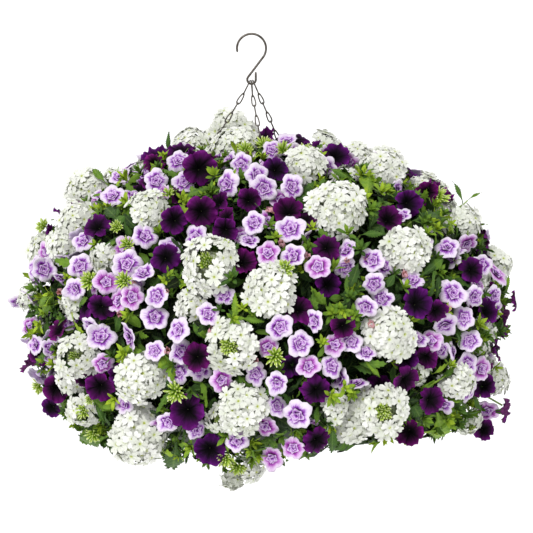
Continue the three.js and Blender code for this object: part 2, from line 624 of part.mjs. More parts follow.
// ---- Sprays: flowers near each other on one stem from the soil ----
function gather(flowers, count) {
  const middles = [flowers[0].point.clone()];
  const nearest = (p) => Math.min(...middles.map((m) => m.distanceTo(p)));
  while (middles.length < count) {
    const farthest = flowers.reduce((a, b) => (nearest(b.point) > nearest(a.point) ? b : a));
    middles.push(farthest.point.clone());
  }
  let groups = [];
  for (let round = 0; round < 10; round++) {
    groups = middles.map(() => []);
    for (const one of flowers) {
      const gaps = middles.map((m) => m.distanceTo(one.point));
      groups[gaps.indexOf(Math.min(...gaps))].push(one);
    }
    groups.forEach((group, i) => {
      if (group.length === 0) return;
      middles[i].set(0, 0, 0);
      group.forEach((one) => middles[i].addScaledVector(one.point, 1 / group.length));
    });
  }
  return groups.map((members, i) => ({ members, middle: middles[i] }))
    .filter(({ members }) => members.length);
}

const parts = []; // every body placed so far, with its node's name and its box

// freed is the body as its own node's others are held clear of it, a little short at its foot.
function place(node, body, freed = body) {
  const { min, max } = body.boundingBox();
  parts.push({ node, body, freed, min, max });
}

function clear(node, body, gap, freed = body) {
  const { min, max } = body.boundingBox();
  return parts.every((part) => {
    const own = part.node === node;
    const least = own ? OWN_GAP : gap;
    return [0, 1, 2].some((k) => part.min[k] > max[k] + least || part.max[k] < min[k] - least)
      || (own ? part.freed.minGap(freed, least * 2) : part.body.minGap(body, least * 2)) >= least;
  });
}

// How many times a closed body's surface goes round a point: once for a point inside it. The
// body is a row of numbers, nine for each triangle.
function wraps(row, { x, y, z }) {
  let sum = 0;
  for (let i = 0; i < row.length; i += 9) {
    const [ax, ay, az] = [row[i] - x, row[i + 1] - y, row[i + 2] - z];
    const [bx, by, bz] = [row[i + 3] - x, row[i + 4] - y, row[i + 5] - z];
    const [cx, cy, cz] = [row[i + 6] - x, row[i + 7] - y, row[i + 8] - z];
    const a = Math.sqrt(ax * ax + ay * ay + az * az);
    const b = Math.sqrt(bx * bx + by * by + bz * bz);
    const c = Math.sqrt(cx * cx + cy * cy + cz * cz);
    const volume = ax * (by * cz - bz * cy) + ay * (bz * cx - bx * cz) + az * (bx * cy - by * cx);
    sum += Math.atan2(volume, a * b * c + (ax * bx + ay * by + az * bz) * c
      + (bx * cx + by * cy + bz * cz) * a + (cx * ax + cy * ay + cz * az) * b);
  }
  return sum / TURN;
}

// Whether a body passes nowhere through itself: each face has its own body right behind it, once.
function simple(triangles) {
  const row = Float64Array.from(triangles.flat().flatMap((p) => p.toArray()));
  return triangles.every((triangle) => {
    const middle = middleOf(triangle);
    const normal = new THREE.Triangle(...triangle).getNormal(new Vec());
    return [middle, ...triangle.map((p) => p.clone().lerp(middle, TO_MIDDLE))]
      .every((p) => Math.abs(wraps(row, p.addScaledVector(normal, -SKIN)) - 1) < 0.5);
  });
}

// The main stem's points from a slot in its plant's crown to the middle of the spray.
function stemRoute(plant, slot, end, lift, sway) {
  const turn = (slot / 6) * TURN;
  const spread = slot === 6 ? 0 : CROWN_SLOT;
  const root = new Vec(plant.x + spread * Math.cos(turn), plant.y + spread * Math.sin(turn),
    SOIL_Z - CROWN_HOLE.depth + GAP);
  const shoot = root.clone().setZ(SOIL_Z + SOIL_CROWN + SHOOT);
  const level = Math.hypot(end.x, end.y);
  const aside = new Vec(-end.y / level, end.x / level, 0).multiplyScalar(sway);
  const over = new Vec((end.x / level) * STEM_OVER_RIM, (end.y / level) * STEM_OVER_RIM,
    Math.max(POT.rimZ + ARCH.aboveRim + lift, end.z + ARCH.aboveEnd + lift * ARCH.lifted.end)).add(aside);
  const before = shoot.clone().lerp(over, 0.5).setZ(over.z - ARCH.dip + lift * ARCH.lifted.before);
  const bend = shoot.clone().lerp(end, SHORT_WAY.bend).add(aside);
  bend.z += lift * SHORT_WAY.lifted;
  const long = level > STEM_OVER_RIM + 10;
  return { root, route: long ? [shoot, before, over, end] : [shoot, bend, end] };
}

// A stem's points, with short joints at its end for its stalks to spring from.
function jointed(route, count) {
  const curve = new THREE.CatmullRomCurve3(route, false, "centripetal");
  const whole = curve.getLength();
  const short = Array.from({ length: count + 1 },
    (_, i) => 1 - ((count - i) * STEM_JOINT) / whole);
  const long = STEM_LONG.map((share) => share * short[0]);
  return [...long, ...short].map((share) => curve.getPointAt(share));
}

function sprayStem(node, { members, middle }, plants) {
  const end = middle.clone().addScaledVector(moundNormal(middle), -SPRAY_DEPTH);
  const level = Math.hypot(end.x, end.y);
  if (end.z < POT.rimZ + 20 && level < OUTSIDE_POT) {
    end.multiply(new Vec(OUTSIDE_POT / level, OUTSIDE_POT / level, 1));
  }
  const near = [...plants].sort((a, b) => Math.hypot(a.x - end.x, a.y - end.y)
    - Math.hypot(b.x - end.x, b.y - end.y));
  for (const plant of near) {
    const angle = Math.atan2(end.y - plant.y, end.x - plant.x);
    const off = (slot) => (slot === 6 ? 1.5
      : Math.abs(Math.sin((slot * 60 * DEGREE - angle) / 2)) * 2);
    for (const slot of [...plant.free].sort((a, b) => off(a) - off(b))) {
      for (let trial = 0; trial < STEM_LIFTS * STEM_SWAYS.length; trial++) {
        const lift = (trial % STEM_LIFTS) * STEM_LIFT;
        const sway = STEM_SWAYS[Math.floor(trial / STEM_LIFTS)];
        const { root, route } = stemRoute(plant, slot, end, lift, sway);
        const joints = Math.ceil(members.length / 2) + 1;
        const rings = sections([root, ...jointed(route, joints)], STEM_RADIUS);
        const body = solid(surface(loft(rings)));
        if (!clear(node, body, STEM_GAP) || !simple(loft(rings))) continue;
        plant.free = plant.free.filter((other) => other !== slot);
        place(node, body);
        const trunk = [[...rings[0]].reverse(), ...loft(rings.slice(0, -joints), false)];
        const free = [rings.at(-1), ...loft(rings.slice(-joints - 1), false)];
        return { faces: [...trunk, ...free], free };
      }
    }
  }
  throw new Error("no clear stem for " + node);
}

// The ways to bend a stalk between its foot and its neck, by how many bends they have.
function bendings({ foot, way, neck }, face) {
  const [u, v] = across(way.clone().normalize());
  const aside = Array.from({ length: BENDS * 2 }, (_, i) => {
    const [turn, reach] = [(i / BENDS) * TURN, i < BENDS ? BEND : BEND * 2];
    return foot.clone().addScaledVector(way, 0.5)
      .addScaledVector(u, reach * Math.cos(turn)).addScaledVector(v, reach * Math.sin(turn));
  });
  const under = neck.clone().addScaledVector(face, -UNDER_HEAD);
  return [[[], [under], ...aside.map((bend) => [bend])], aside.map((bend) => [bend, under])];
}

// Grows a flower from the first face of its stem that gives it a clear stalk, and sets it deeper
// where there is none. Its triangles take the place of that face.
function grow({ node, stem }, one) {
  const leaf = one.kind === "leaf";
  const below = leaf ? LEAF_NECK.below : one.radius * HEADS[one.kind].neck;
  for (let pushes = one.pushed; pushes <= one.pushed + MOST_PUSHES; pushes++) {
    const neck = one.point.clone().addScaledVector(one.back, pushes)
      .addScaledVector(one.face, -below);
    if (leaf) neck.addScaledVector(one.along, LEAF_NECK.at);
    const springs = stem.free.map((face) => {
      const [foot, normal] = [middleOf(face), new THREE.Triangle(...face).getNormal(new Vec())];
      const way = neck.clone().sub(foot);
      return { face, foot, neck, normal, way, lean: way.clone().normalize().dot(normal) };
    }).filter(({ lean }) => lean > LEAST_LEAN).sort((a, b) => b.lean - a.lean);
    const tried = springs.slice(0, FACES_TRIED).map((spring) => (
      { ...spring, ways: bendings(spring, one.face) }));
    for (const few of [0, 1]) {
      for (const { face, foot, normal, ways } of tried) {
        const freed = face.map((p) => p.clone().lerp(foot, TO_MIDDLE)
          .addScaledVector(normal, FREED));
        for (const bends of ways[few]) {
          const rings = grown(one, pushes, face, bends);
          if (!simple(loft(rings))) continue;
          const body = solid(surface(loft(rings)));
          const short = solid(surface(loft(grown(one, pushes, freed, bends))));
          if (!clear(node, body, GAP, short)) continue;
          const faces = stem.faces.filter((other) => other !== face).concat(loft(rings, false));
          if (!simple(faces)) continue;
          place(node, body, short);
          stem.free = stem.free.filter((other) => other !== face);
          stem.faces = faces;
          return true;
        }
      }
    }
  }
  return false;
}

// ---- Export ----
const group = new THREE.Group();

function add(name, body, look) {
  const { vertProperties, triVerts } = body.getMesh();
  const geometry = new THREE.BufferGeometry();
  geometry.setAttribute("position", new THREE.BufferAttribute(vertProperties, 3));
  geometry.setIndex(new THREE.BufferAttribute(triVerts, 1));
  geometry.computeVertexNormals();
  const mesh = new THREE.Mesh(geometry, new THREE.MeshStandardMaterial(LOOKS[look]));
  mesh.name = name;
  group.add(mesh);
}

function fixed(name, body, look) {
  place(name, body);
  add(name, body, look);
}

fixed("hook", solid(surface(hook())), "steel");
CHAINS.forEach((one) => fixed(one.name, chain(one), "steel"));
fixed("pot", pot(), "plastic");
fixed("soil", soil(), "soil");

const flowers = layOut();
const sprays = Object.entries(SPRAYS).flatMap(([kind, count]) => gather(
  flowers.filter((one) => one.kind === kind), count,
).map((spray, i) => {
  const node = NODE_NAMES[kind] + "_" + String(i + 1).padStart(2, "0");
  const plants = PLANTS.filter((plant) => kind === "leaf" || plant.kind === kind);
  return { node, kind, ...spray, stem: sprayStem(node, spray, plants) };
}));
for (const kind of Object.keys(SPRAYS)) {
  const kin = sprays.filter((spray) => spray.kind === kind);
  const left = kin.flatMap((spray) => spray.members.filter((one) => !grow(spray, one)));
  for (const one of left) {
    const gap = (spray) => spray.middle.distanceTo(one.point);
    const near = [...kin].sort((a, b) => gap(a) - gap(b)).slice(1, 1 + OTHER_STEMS);
    if (!near.some((spray) => grow(spray, one))) console.warn("There is no room for one", kind);
  }
}
for (const { node, kind, stem } of sprays) add(node, solid(surface(stem.faces)), kind);

export default group;
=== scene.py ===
"""The looks of a petunia hanging basket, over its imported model.

Lengths are millimetres until a mesh is made. Flowers and leaves lie where the part's own layout
puts them: its rule and its draws are repeated here, and each bloom's place is read off its node.
"""

import math

import bpy
import numpy as np
from mathutils import Matrix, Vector
from mathutils.kdtree import KDTree


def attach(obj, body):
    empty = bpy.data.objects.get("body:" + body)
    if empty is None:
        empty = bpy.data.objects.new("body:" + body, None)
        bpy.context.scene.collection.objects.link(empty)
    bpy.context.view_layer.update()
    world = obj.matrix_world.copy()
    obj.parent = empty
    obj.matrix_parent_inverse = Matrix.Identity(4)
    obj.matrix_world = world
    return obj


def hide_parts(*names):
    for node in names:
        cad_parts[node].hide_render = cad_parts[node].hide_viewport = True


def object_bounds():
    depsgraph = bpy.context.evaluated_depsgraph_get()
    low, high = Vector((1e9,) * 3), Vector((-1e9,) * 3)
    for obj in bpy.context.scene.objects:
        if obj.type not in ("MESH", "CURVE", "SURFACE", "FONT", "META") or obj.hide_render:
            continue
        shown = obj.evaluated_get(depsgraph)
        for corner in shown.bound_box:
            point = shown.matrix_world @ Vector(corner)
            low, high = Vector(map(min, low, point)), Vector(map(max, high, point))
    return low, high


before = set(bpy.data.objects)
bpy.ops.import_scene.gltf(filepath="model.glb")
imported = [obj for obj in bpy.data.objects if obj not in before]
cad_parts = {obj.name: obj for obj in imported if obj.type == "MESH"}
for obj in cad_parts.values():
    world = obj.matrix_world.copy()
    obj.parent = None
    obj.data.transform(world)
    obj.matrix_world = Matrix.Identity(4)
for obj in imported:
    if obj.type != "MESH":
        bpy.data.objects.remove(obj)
CAD_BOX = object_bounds()

MM = 0.001
TURN = 2 * math.pi
DEGREE = math.pi / 180
GOLDEN = math.pi * (3 - math.sqrt(5))

# ---- Sizes shared with the part ----
HOOK_WIRE = 2.7
HOOK_TOP_RADIUS = 17
HOOK_FOOT_RADIUS = 5
HOOK_FOOT_BELOW = 52
HOOK_TAIL = 9
HOOK_TIP_ANGLE = 195
CHAIN_WIRE = 1.6
LINK_WIDTH = 6
LINK_PITCH = 13.5
TOP_LINK = {"width": 8.6, "length": 17}
CHAINS = [("chain_left", 167, 222), ("chain_front", 287, 270), ("chain_right", 47, 318)]
CLIP_WIDTH, CLIP_LENGTH = 10, 21
POT = {"rim_z": -310, "height": 165, "rim": 151, "neck": 141, "foot": 105, "wall": 2.5, "lip": 3}
POT_FLOOR = 6.5
RIM_HOLE_AT = 145.5
SOIL_Z = POT["rim_z"] - 15
SOIL_CROWN = 6
GAP = 0.35
CROWNS, CROWN_RING = 9, 74
MOUND = {"middle": (16, 0, -310), "x": 280, "y": 272, "rise": 188, "drop": 184}
UPPER_POWER, LOWER_POWER = 2, 3.3
PIXEL = 1.17
PICTURE_MIDDLE = 266.5
CREST_MARK = (251.5, 35)
EYE_DISTANCE = 2500
EYE_ELEVATION = 8 * DEGREE
# Each bloom in the picture: across it, down it, its radius, and 1 where others are before it.
VERBENA_MARKS = [
    (148, 207, 20), (338, 207, 31), (208, 263, 29), (190, 305, 15, 1), (270, 289, 27),
    (231, 347, 27), (408, 249, 25), (390, 334, 27), (28, 296, 14), (76, 357, 22), (70, 380, 14, 1),
    (139, 380, 26), (138, 437, 31), (82, 412, 17), (244, 411, 25), (382, 411, 27), (459, 381, 18),
    (470, 425, 13), (251, 470, 14), (232, 482, 9), (231, 129, 24), (193, 141, 19), (383, 168, 25),
    (359, 157, 16, 1), (85, 190, 24), (75, 218, 20), (40, 248, 16), (66, 244, 20, 1),
    (303, 165, 20), (467, 222, 18), (498, 262, 16), (103, 258, 14, 1), (350, 421, 23, 1),
    (499, 380, 15),
]
PETUNIA_MARKS = [
    (199, 168, 17), (336, 156, 14), (276, 169, 13), (155, 163, 11), (97, 226, 14), (174, 220, 14),
    (202, 212, 16), (225, 230, 13), (249, 200, 12), (288, 211, 15, 1), (408, 203, 14),
    (388, 219, 14, 1), (427, 193, 12), (166, 257, 15), (243, 262, 14), (327, 247, 14),
    (328, 285, 13, 1), (297, 308, 16), (343, 326, 13), (100, 308, 14), (58, 330, 12), (30, 361, 13),
    (57, 388, 14), (51, 408, 11), (100, 387, 15), (197, 357, 15), (187, 411, 18), (210, 450, 16),
    (317, 391, 15), (317, 441, 15), (380, 388, 14, 1), (406, 381, 15), (431, 400, 14),
    (409, 432, 14), (425, 358, 13), (417, 303, 16), (436, 311, 12), (472, 270, 13), (486, 311, 13),
    (502, 326, 12), (516, 300, 10), (497, 350, 11), (484, 386, 12), (484, 430, 11), (506, 411, 12),
]
CALIBRACHOA_MARKS = [
    (156, 181, 13), (178, 161, 12), (184, 182, 13, 1), (241, 164, 12), (227, 184, 14),
    (257, 176, 13), (264, 188, 14), (292, 187, 13), (281, 200, 12), (272, 150, 11), (254, 223, 12),
    (242, 236, 14), (291, 229, 15), (196, 238, 15, 1), (145, 236, 13), (113, 196, 13),
    (119, 177, 11), (83, 241, 12), (47, 252, 12, 1), (44, 269, 13), (80, 266, 13), (75, 289, 12),
    (106, 282, 13), (127, 264, 15), (143, 273, 12), (132, 297, 13), (101, 337, 15), (129, 337, 15),
    (18, 302, 11), (30, 326, 11), (35, 345, 11), (71, 322, 12, 1), (103, 364, 12), (157, 296, 12),
    (155, 317, 14), (178, 330, 13), (181, 352, 13), (155, 351, 11), (208, 314, 12), (268, 253, 13),
    (293, 256, 13), (318, 267, 13), (346, 250, 12), (372, 260, 13), (374, 284, 12), (366, 307, 12),
    (280, 327, 14), (300, 344, 14), (314, 321, 12), (335, 345, 12), (351, 342, 12), (447, 247, 13),
    (453, 293, 15), (475, 297, 12), (495, 296, 11), (481, 265, 12), (445, 325, 14), (464, 318, 12),
    (430, 341, 13), (470, 341, 12), (467, 364, 12), (481, 369, 13), (487, 411, 14), (168, 422, 12),
    (197, 430, 12), (222, 380, 13), (237, 441, 12), (265, 426, 13), (272, 458, 12), (277, 383, 12),
    (297, 415, 16), (277, 406, 12, 1), (293, 448, 12), (308, 366, 12), (332, 366, 12),
    (268, 347, 12, 1),
]
# Each leaf from its base to its tip.
LEAF_MARKS = [
    (348, 302, 368, 330), (347, 302, 331, 312), (349, 300, 308, 294), (347, 298, 347, 274),
    (366, 200, 366, 171), (372, 208, 394, 203), (328, 168, 356, 182), (360, 235, 387, 234),
    (463, 204, 453, 181), (468, 200, 482, 192), (412, 221, 446, 217), (168, 152, 169, 131),
    (105, 182, 92, 168), (215, 188, 180, 199), (205, 186, 232, 200), (236, 322, 235, 292),
    (240, 318, 265, 322), (447, 402, 480, 402), (437, 412, 440, 439), (450, 412, 463, 438),
    (408, 397, 424, 424), (176, 442, 172, 470), (186, 438, 152, 450), (182, 388, 207, 400),
    (222, 466, 236, 482), (95, 402, 106, 424), (108, 436, 78, 438), (333, 426, 332, 454),
    (437, 280, 424, 253), (483, 345, 502, 340), (504, 296, 509, 275), (40, 306, 52, 292),
    (380, 377, 366, 362), (60, 300, 36, 316), (120, 222, 104, 206), (86, 330, 70, 346),
    (214, 340, 196, 326), (300, 282, 284, 266), (420, 276, 438, 262), (160, 372, 150, 396),
]
# The blooms and leaves that the picture does not show: how many, how large, how close.
REST = {"verbena": 24, "petunia": 26, "calibrachoa": 56, "leaf": 26}
REST_SIZE = {"verbena": 31, "petunia": 17, "calibrachoa": 15, "leaf": 34}
CROWDING = {"verbena": 0.8, "petunia": 0.82, "calibrachoa": 0.85, "leaf": 0.55}
LAYOUT_SEED = 11
LATTICE = 900  # places tried for them
FARTHEST = 400
HALVINGS = 30
SIGHT_RANGE, SIGHT_STEP = (-340, 380), 4
UNDERSIDE = -0.5
EDGE_OF_SIGHT = 0.16
CHAIN_CLEARANCE = 22
PUSH_STEP = 5  # how far one push moves a bloom that is in another's way
BEHIND_PUSHES = 3
MOST_PUSHES = 10
SAME_PLACE = 0.05
CHAIN_TOP = -66.0
# A leaf's arch and the place of its own vertex along it, in lengths, and that vertex's height.
LEAF_ARCH, LEAF_SPOT, LEAF_SPOT_ABOVE = 0.1, 0.45, 0.2
# Where a bloom's own vertex lies above its middle, in radii, and how far its neck lies below.
PEAK = {"verbena": 0.4, "petunia": -0.42, "calibrachoa": 0}
NECK = {"verbena": 0.62, "petunia": 0.8, "calibrachoa": 0.6}

# ---- What only the looks have: pixels as above ----
BUD_MARKS = [
    (44, 227, 8), (90, 281, 10), (176, 392, 11), (438, 197, 10), (225, 458, 9), (238, 466, 9),
    (40, 386, 8), (84, 411, 8), (90, 400, 5), (94, 434, 8), (275, 356, 10), (285, 269, 9),
    (204, 259, 7), (229, 345, 10), (382, 411, 10), (262, 285, 5), (169, 194, 6), (125, 281, 9),
    (128, 245, 8), (117, 228, 7), (225, 245, 6), (264, 146, 9), (284, 151, 9), (246, 150, 8),
    (305, 152, 8),
]
SPENT_MARKS = [
    (134, 286), (119, 313), (167, 291), (144, 311), (167, 350), (283, 243), (346, 260), (307, 257),
    (366, 258), (270, 211), (372, 326), (446, 309), (210, 330), (255, 360), (60, 292), (404, 275),
    (272, 149), (248, 151), (295, 147),
]
# Verbena heads whose middle is still in bud, and those with few florets.
YOUNG_HEADS = {(208, 263), (231, 347), (382, 411), (82, 412), (470, 425), (232, 482), (76, 357)}
YOUNG_SHARE = 0.2
SPARSE_HEADS = {(232, 482), (251, 470)}
OUTER_PETUNIAS = {(x, y) for x, y, *_ in PETUNIA_MARKS if abs(x - PICTURE_MIDDLE) > 228}
# The foliage's own upper and lower edge in the picture: across it, and down it.
UPPER_EDGE = ((20, 45, 90, 150, 180, 215, 262, 330, 372, 405, 430, 470, 495, 515),
              (262, 212, 175, 150, 128, 112, 138, 146, 142, 162, 180, 192, 235, 290))
LOWER_EDGE = ((20, 45, 60, 80, 110, 160, 250, 290, 335, 352, 430, 465, 485, 505, 516),
              (330, 393, 414, 438, 452, 461, 468, 461, 456, 446, 442, 437, 430, 412, 350))
CREST_BLOOMS = 205  # pixels down the picture to which blooms turn well towards the eye
BEHIND_CREST = -205  # height above which blooms behind the mound's crest look up
BLOOM_SPREAD = {"petunia": 1.07, "calibrachoa": 1.0}  # wider than the part's, by the ruffles
FILLER_TRIES = 3000
FILLER_SPACE, FILLER_SPACE_BEHIND = 0.76, 0.68
FILLER_DEPTH = (5, 15)
FILLER_KINDS = [("verbena", (14, 19)), ("petunia", (12, 16)), ("calibrachoa", (11, 14))]
FILLER_MIX = (0.22, 0.24, 0.54)
# A verbena head, in radii: how far round its ball it has florets, how wide and high they sit,
# and how far they lean out for that bend.
HEAD_BEND = 82 * DEGREE
HEAD_LEVEL, HEAD_RISE, HEAD_SINK = 0.86, 0.6, 0.2
HEAD_LEAN = 0.72
FLORET, FLORET_RANGE = 9.6, (7.2, 10.8)
FLORETS_PER_AREA = 3.9
# The share of its florets and the radius of its core, for each state of a head.
HEAD_STATES = {"sparse": (0.3, 0.2), "young": (0.9, 0.7), "open": (1.0, 0.92)}
YOUNG_BUDS_REACH = 0.2
CLUSTER_BUDS = 36
# Leaves in depth: from and to which depth, how many, how bright (painted shade, darker the deeper
# they lie;
# the deepest, near-black layer stands for the shade inside the mound), and the share of each kind.
FOLIAGE_LAYERS = [((0, 12), 2600, 0.56, (0.6, 0.22, 0.18, 0)),
                  ((12, 28), 3200, 0.38, (0.44, 0.28, 0.28, 0)),
                  ((28, 50), 2400, 0.2, (0.2, 0.2, 0.3, 0.3)),
                  ((50, 90), 3600, 0.05, (0, 0, 0, 1))]
# The shortest and longest of each kind: toothed, slim, ovate, and plain deep inside.
LEAF_LENGTHS = np.array([(22, 38), (11, 20), (16, 26), (34, 52)])
# Half the width of a leaf 1 long, by the share of its length.
VERBENA_LEAF = [(0, 0.02), (0.12, 0.05), (0.3, 0.17), (0.5, 0.2), (0.75, 0.12), (1, 0.005)]
SLIM_LEAF = [(0, 0.03), (0.2, 0.1), (0.5, 0.16), (0.8, 0.14), (0.93, 0.08), (1, 0.01)]
OVATE_LEAF = [(0, 0.03), (0.15, 0.16), (0.4, 0.28), (0.65, 0.24), (0.88, 0.1), (1, 0.01)]
SLENDER = 0.72
LOWEST_LEAF = -478
BOX_MARGIN = 4
# The space before a flower that foliage leaves free: from and to which height over its middle,
# and how far out, the first and the last in radii.
FREE_FROM, FREE_TO, FREE_REACH = -0.42, 45, 0.95
FILLER_HOLD = 0.72  # the share of its radius that a filler keeps free
TUFTS = 2300
STEM_STATIONS = 12
STEM_DEPTH = (42, 60)
STEM_INSIDE = 0.96  # the mound's level that stems stay under
STEM_THICKNESS = {"verbena": 1.5, "petunia": 1.5, "calibrachoa": 1.0, "leaf": 1.1}
CRUMBS, CRUMB_REACH = 500, 132
SENSOR_WIDTH = 36
FLOWERS_APART = 91.0  # how far the vein pattern moves on from one flower to the next
FLOOR_Z, FLOOR_REACH = -3.2, 400  # metres
SKY_LIGHT = 0.56
# Each light's name, the way to it, its strength, and its width in degrees.
SUNS = [("key", (-0.35, -0.9, 0.8), 2.35, 30), ("fill", (0.9, 0.5, 0.6), 0.6, 60),
        ("behind", (-0.3, 0.9, 0.5), 0.9, 60)]
# The layers of a shape, by which its look tells petals from what else it has.
FIRST, SECOND, THIRD = 0.0, 0.5, 1.0
rng = np.random.default_rng(7)


def unit(v):
    v = np.asarray(v, float)
    return v / np.maximum(np.linalg.norm(v, axis=-1, keepdims=True), 1e-9)


def spun(level, turn, height):
    """Points at some distances from the z axis, turned round it."""
    return np.stack(np.broadcast_arrays(level * np.cos(turn), level * np.sin(turn), height), -1)


def spiral(count, shift=0.5):
    """Reaches and turns that spread a number of points evenly over a disc of radius 1."""
    i = np.arange(count)
    return np.sqrt((i + shift) / count), i * GOLDEN


def grid(rows, columns):
    """The row's and the column's number at each point of a grid."""
    return [values.ravel() for values in np.meshgrid(rows, columns, indexing="ij")]


# ---- The part's layout, draw for draw ----
FORWARD = np.array([0, math.cos(EYE_ELEVATION), -math.sin(EYE_ELEVATION)])
UPWARD = np.array([0, math.sin(EYE_ELEVATION), math.cos(EYE_ELEVATION)])
RIGHT = np.array([1.0, 0, 0])
EYE = (RIGHT * (PICTURE_MIDDLE - CREST_MARK[0]) * PIXEL
       + UPWARD * (CREST_MARK[1] - PICTURE_MIDDLE) * PIXEL - FORWARD * EYE_DISTANCE)
MIDDLE = np.array(MOUND["middle"], float)


def draws(seed):
    state, whole = seed, 0xFFFFFFFF

    def draw():
        nonlocal state
        state = (state + 0x6D2B79F5) & whole
        t = ((state ^ (state >> 15)) * (state | 1)) & whole
        t = ((t + (((t ^ (t >> 7)) * (t | 61)) & whole)) & whole) ^ t
        return (t ^ (t >> 14)) / 4294967296

    return draw


def mound_level(points):
    """Under 1 inside the mound and over 1 outside it, for one point or for many."""
    away = points - MIDDLE
    above = away[..., 2] > 0
    power = np.where(above, UPPER_POWER, LOWER_POWER)
    rise = np.where(above, MOUND["rise"], MOUND["drop"])
    level = np.hypot(away[..., 0] / MOUND["x"], away[..., 1] / MOUND["y"])
    return level**power + (np.abs(away[..., 2]) / rise) ** power


def mound_normal(points):
    return unit(np.stack([mound_level(points + a) - mound_level(points - a)
                          for a in np.eye(3) / 2], -1))


def to_surface(start, way, inside, outside):
    """The distances from start along some ways at which they leave the mound."""
    for _ in range(HALVINGS):
        half = (inside + outside) / 2
        within = mound_level(start + way * half[:, None]) < 1
        inside, outside = np.where(within, half, inside), np.where(within, outside, half)
    return inside


def surface_points(ways):
    """Where lines from the mound's middle leave it, and which way it faces there."""
    n = len(ways)
    reach = to_surface(MIDDLE, ways, np.zeros(n), np.full(n, float(FARTHEST)))
    points = MIDDLE + ways * reach[:, None]
    return points, mound_normal(points)


def marked(x, y):
    """Where the line of sight through a pixel meets the mound, or is nearest to it."""
    sight = (FORWARD + RIGHT * ((x - PICTURE_MIDDLE) * PIXEL) / EYE_DISTANCE
             + UPWARD * ((PICTURE_MIDDLE - y) * PIXEL) / EYE_DISTANCE)
    depths = EYE_DISTANCE + np.arange(*SIGHT_RANGE, SIGHT_STEP)
    levels = mound_level(EYE + sight * depths[:, None])
    depth = depths[np.argmin(levels)]
    if (levels < 1).any():
        first = depths[levels < 1][:1].astype(float)
        depth = to_surface(EYE, sight, first, first - SIGHT_STEP)[0]
    return EYE + sight * depth, sight, PIXEL * depth / EYE_DISTANCE


def facing(point, towards_eye, draw):
    away = mound_normal(point) * 0.55 + unit(EYE - point) * towards_eye
    return unit(away + (np.array([draw(), draw(), draw()]) - 0.5) * 0.5)


def across(axis):
    level = [1.0, 0, 0] if abs(axis[2]) > 0.9 else [0, 0, 1.0]
    u = unit(np.cross(level, axis))
    return u, np.cross(axis, u)


def lay_out():
    draw = draws(LAYOUT_SEED)
    kept = []
    for kind, marks in (("verbena", VERBENA_MARKS), ("petunia", PETUNIA_MARKS),
                        ("calibrachoa", CALIBRACHOA_MARKS)):
        for x, y, r, *behind in marks:
            point, sight, scale = marked(x, y)
            kept.append({"kind": kind, "point": point, "face": facing(point, 0.62, draw),
                         "radius": r * scale, "back": sight * PUSH_STEP, "mark": (x, y),
                         "pushed": BEHIND_PUSHES * sum(behind)})
    for x0, y0, x1, y1 in LEAF_MARKS:
        base, sight, _ = marked(x0, y0)
        along = marked(x1, y1)[0] - base
        kept.append({"kind": "leaf", "point": base, "face": facing(base, 0.5, draw),
                     "along": along, "radius": np.linalg.norm(along) / 2, "pushed": 1,
                     "back": sight * PUSH_STEP, "mark": (x0, y0)})
    i = np.arange(LATTICE)
    height = 1 - 2 * (i + 0.5) / LATTICE
    points, normals = surface_points(spun(np.sqrt(1 - height**2), i * GOLDEN, height))
    places = sorted(zip([draw() for _ in i], points, normals), key=lambda one: one[0])
    places = [(point, normal) for _, point, normal in places
              if normal[2] > UNDERSIDE and normal @ unit(EYE - point) < EDGE_OF_SIGHT
              and math.hypot(point[0], point[1]) > CHAIN_CLEARANCE]
    for kind, wanted in REST.items():
        for point, normal in places:
            radius = REST_SIZE[kind] * (0.85 + 0.25 * draw())
            if wanted == 0 or any(np.linalg.norm(o["point"] - point)
                                  < CROWDING[kind] * (radius + o["radius"]) for o in kept):
                continue
            face, turn = facing(point, 0, draw), draw() * TURN
            u, v = across(normal)
            along = u * math.cos(turn) + v * math.sin(turn)
            leaf = kind == "leaf"
            kept.append({"kind": kind, "point": point - along * radius if leaf else point,
                         "face": face, "radius": radius, "along": along * 2 * radius,
                         "back": -normal * PUSH_STEP, "pushed": int(leaf), "mark": None})
            wanted -= 1
    return kept


def own_vertex(one, point):
    """A point of the CAD node that only this bloom or leaf has."""
    if one["kind"] != "leaf":
        return point + one["face"] * PEAK[one["kind"]] * one["radius"]
    length = np.linalg.norm(one["along"])
    a = unit(one["along"])
    normal = np.cross(a, unit(np.cross(one["face"], a)))
    t = LEAF_SPOT
    rise = length * LEAF_ARCH * (t - t * t) * 4 + LEAF_SPOT_ABOVE
    return point + a * t * length + normal * rise


def find_blooms():
    """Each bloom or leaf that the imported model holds, with its place in it."""
    stems = ("verbena_heads_", "petunia_blooms_", "calibrachoa_blooms_", "leafy_stem_")
    nodes = [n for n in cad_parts.values() if n.name.startswith(stems)]
    spots = [v.co / MM for n in nodes for v in n.data.vertices]
    tree = KDTree(len(spots))
    for i, co in enumerate(spots):
        tree.insert(co, i)
    tree.balance()
    found = []
    for one in lay_out():
        for k in range(one["pushed"], one["pushed"] + MOST_PUSHES + 1):
            point = one["point"] + one["back"] * k
            if tree.find(own_vertex(one, point))[2] < SAME_PLACE:
                found.append({**one, "point": point})
                break
    print("found", len(found), "of the part's blooms and leaves")
    return found


# ---- Meshes of many copies, each vertex with the numbers that its material reads ----
NUMBERS = ("reach", "around", "layer", "tone")


def numbers_of(reach, around, layer=FIRST, tone=0.0):
    return np.stack(np.broadcast_arrays(reach, around, layer, tone), -1).astype(float)


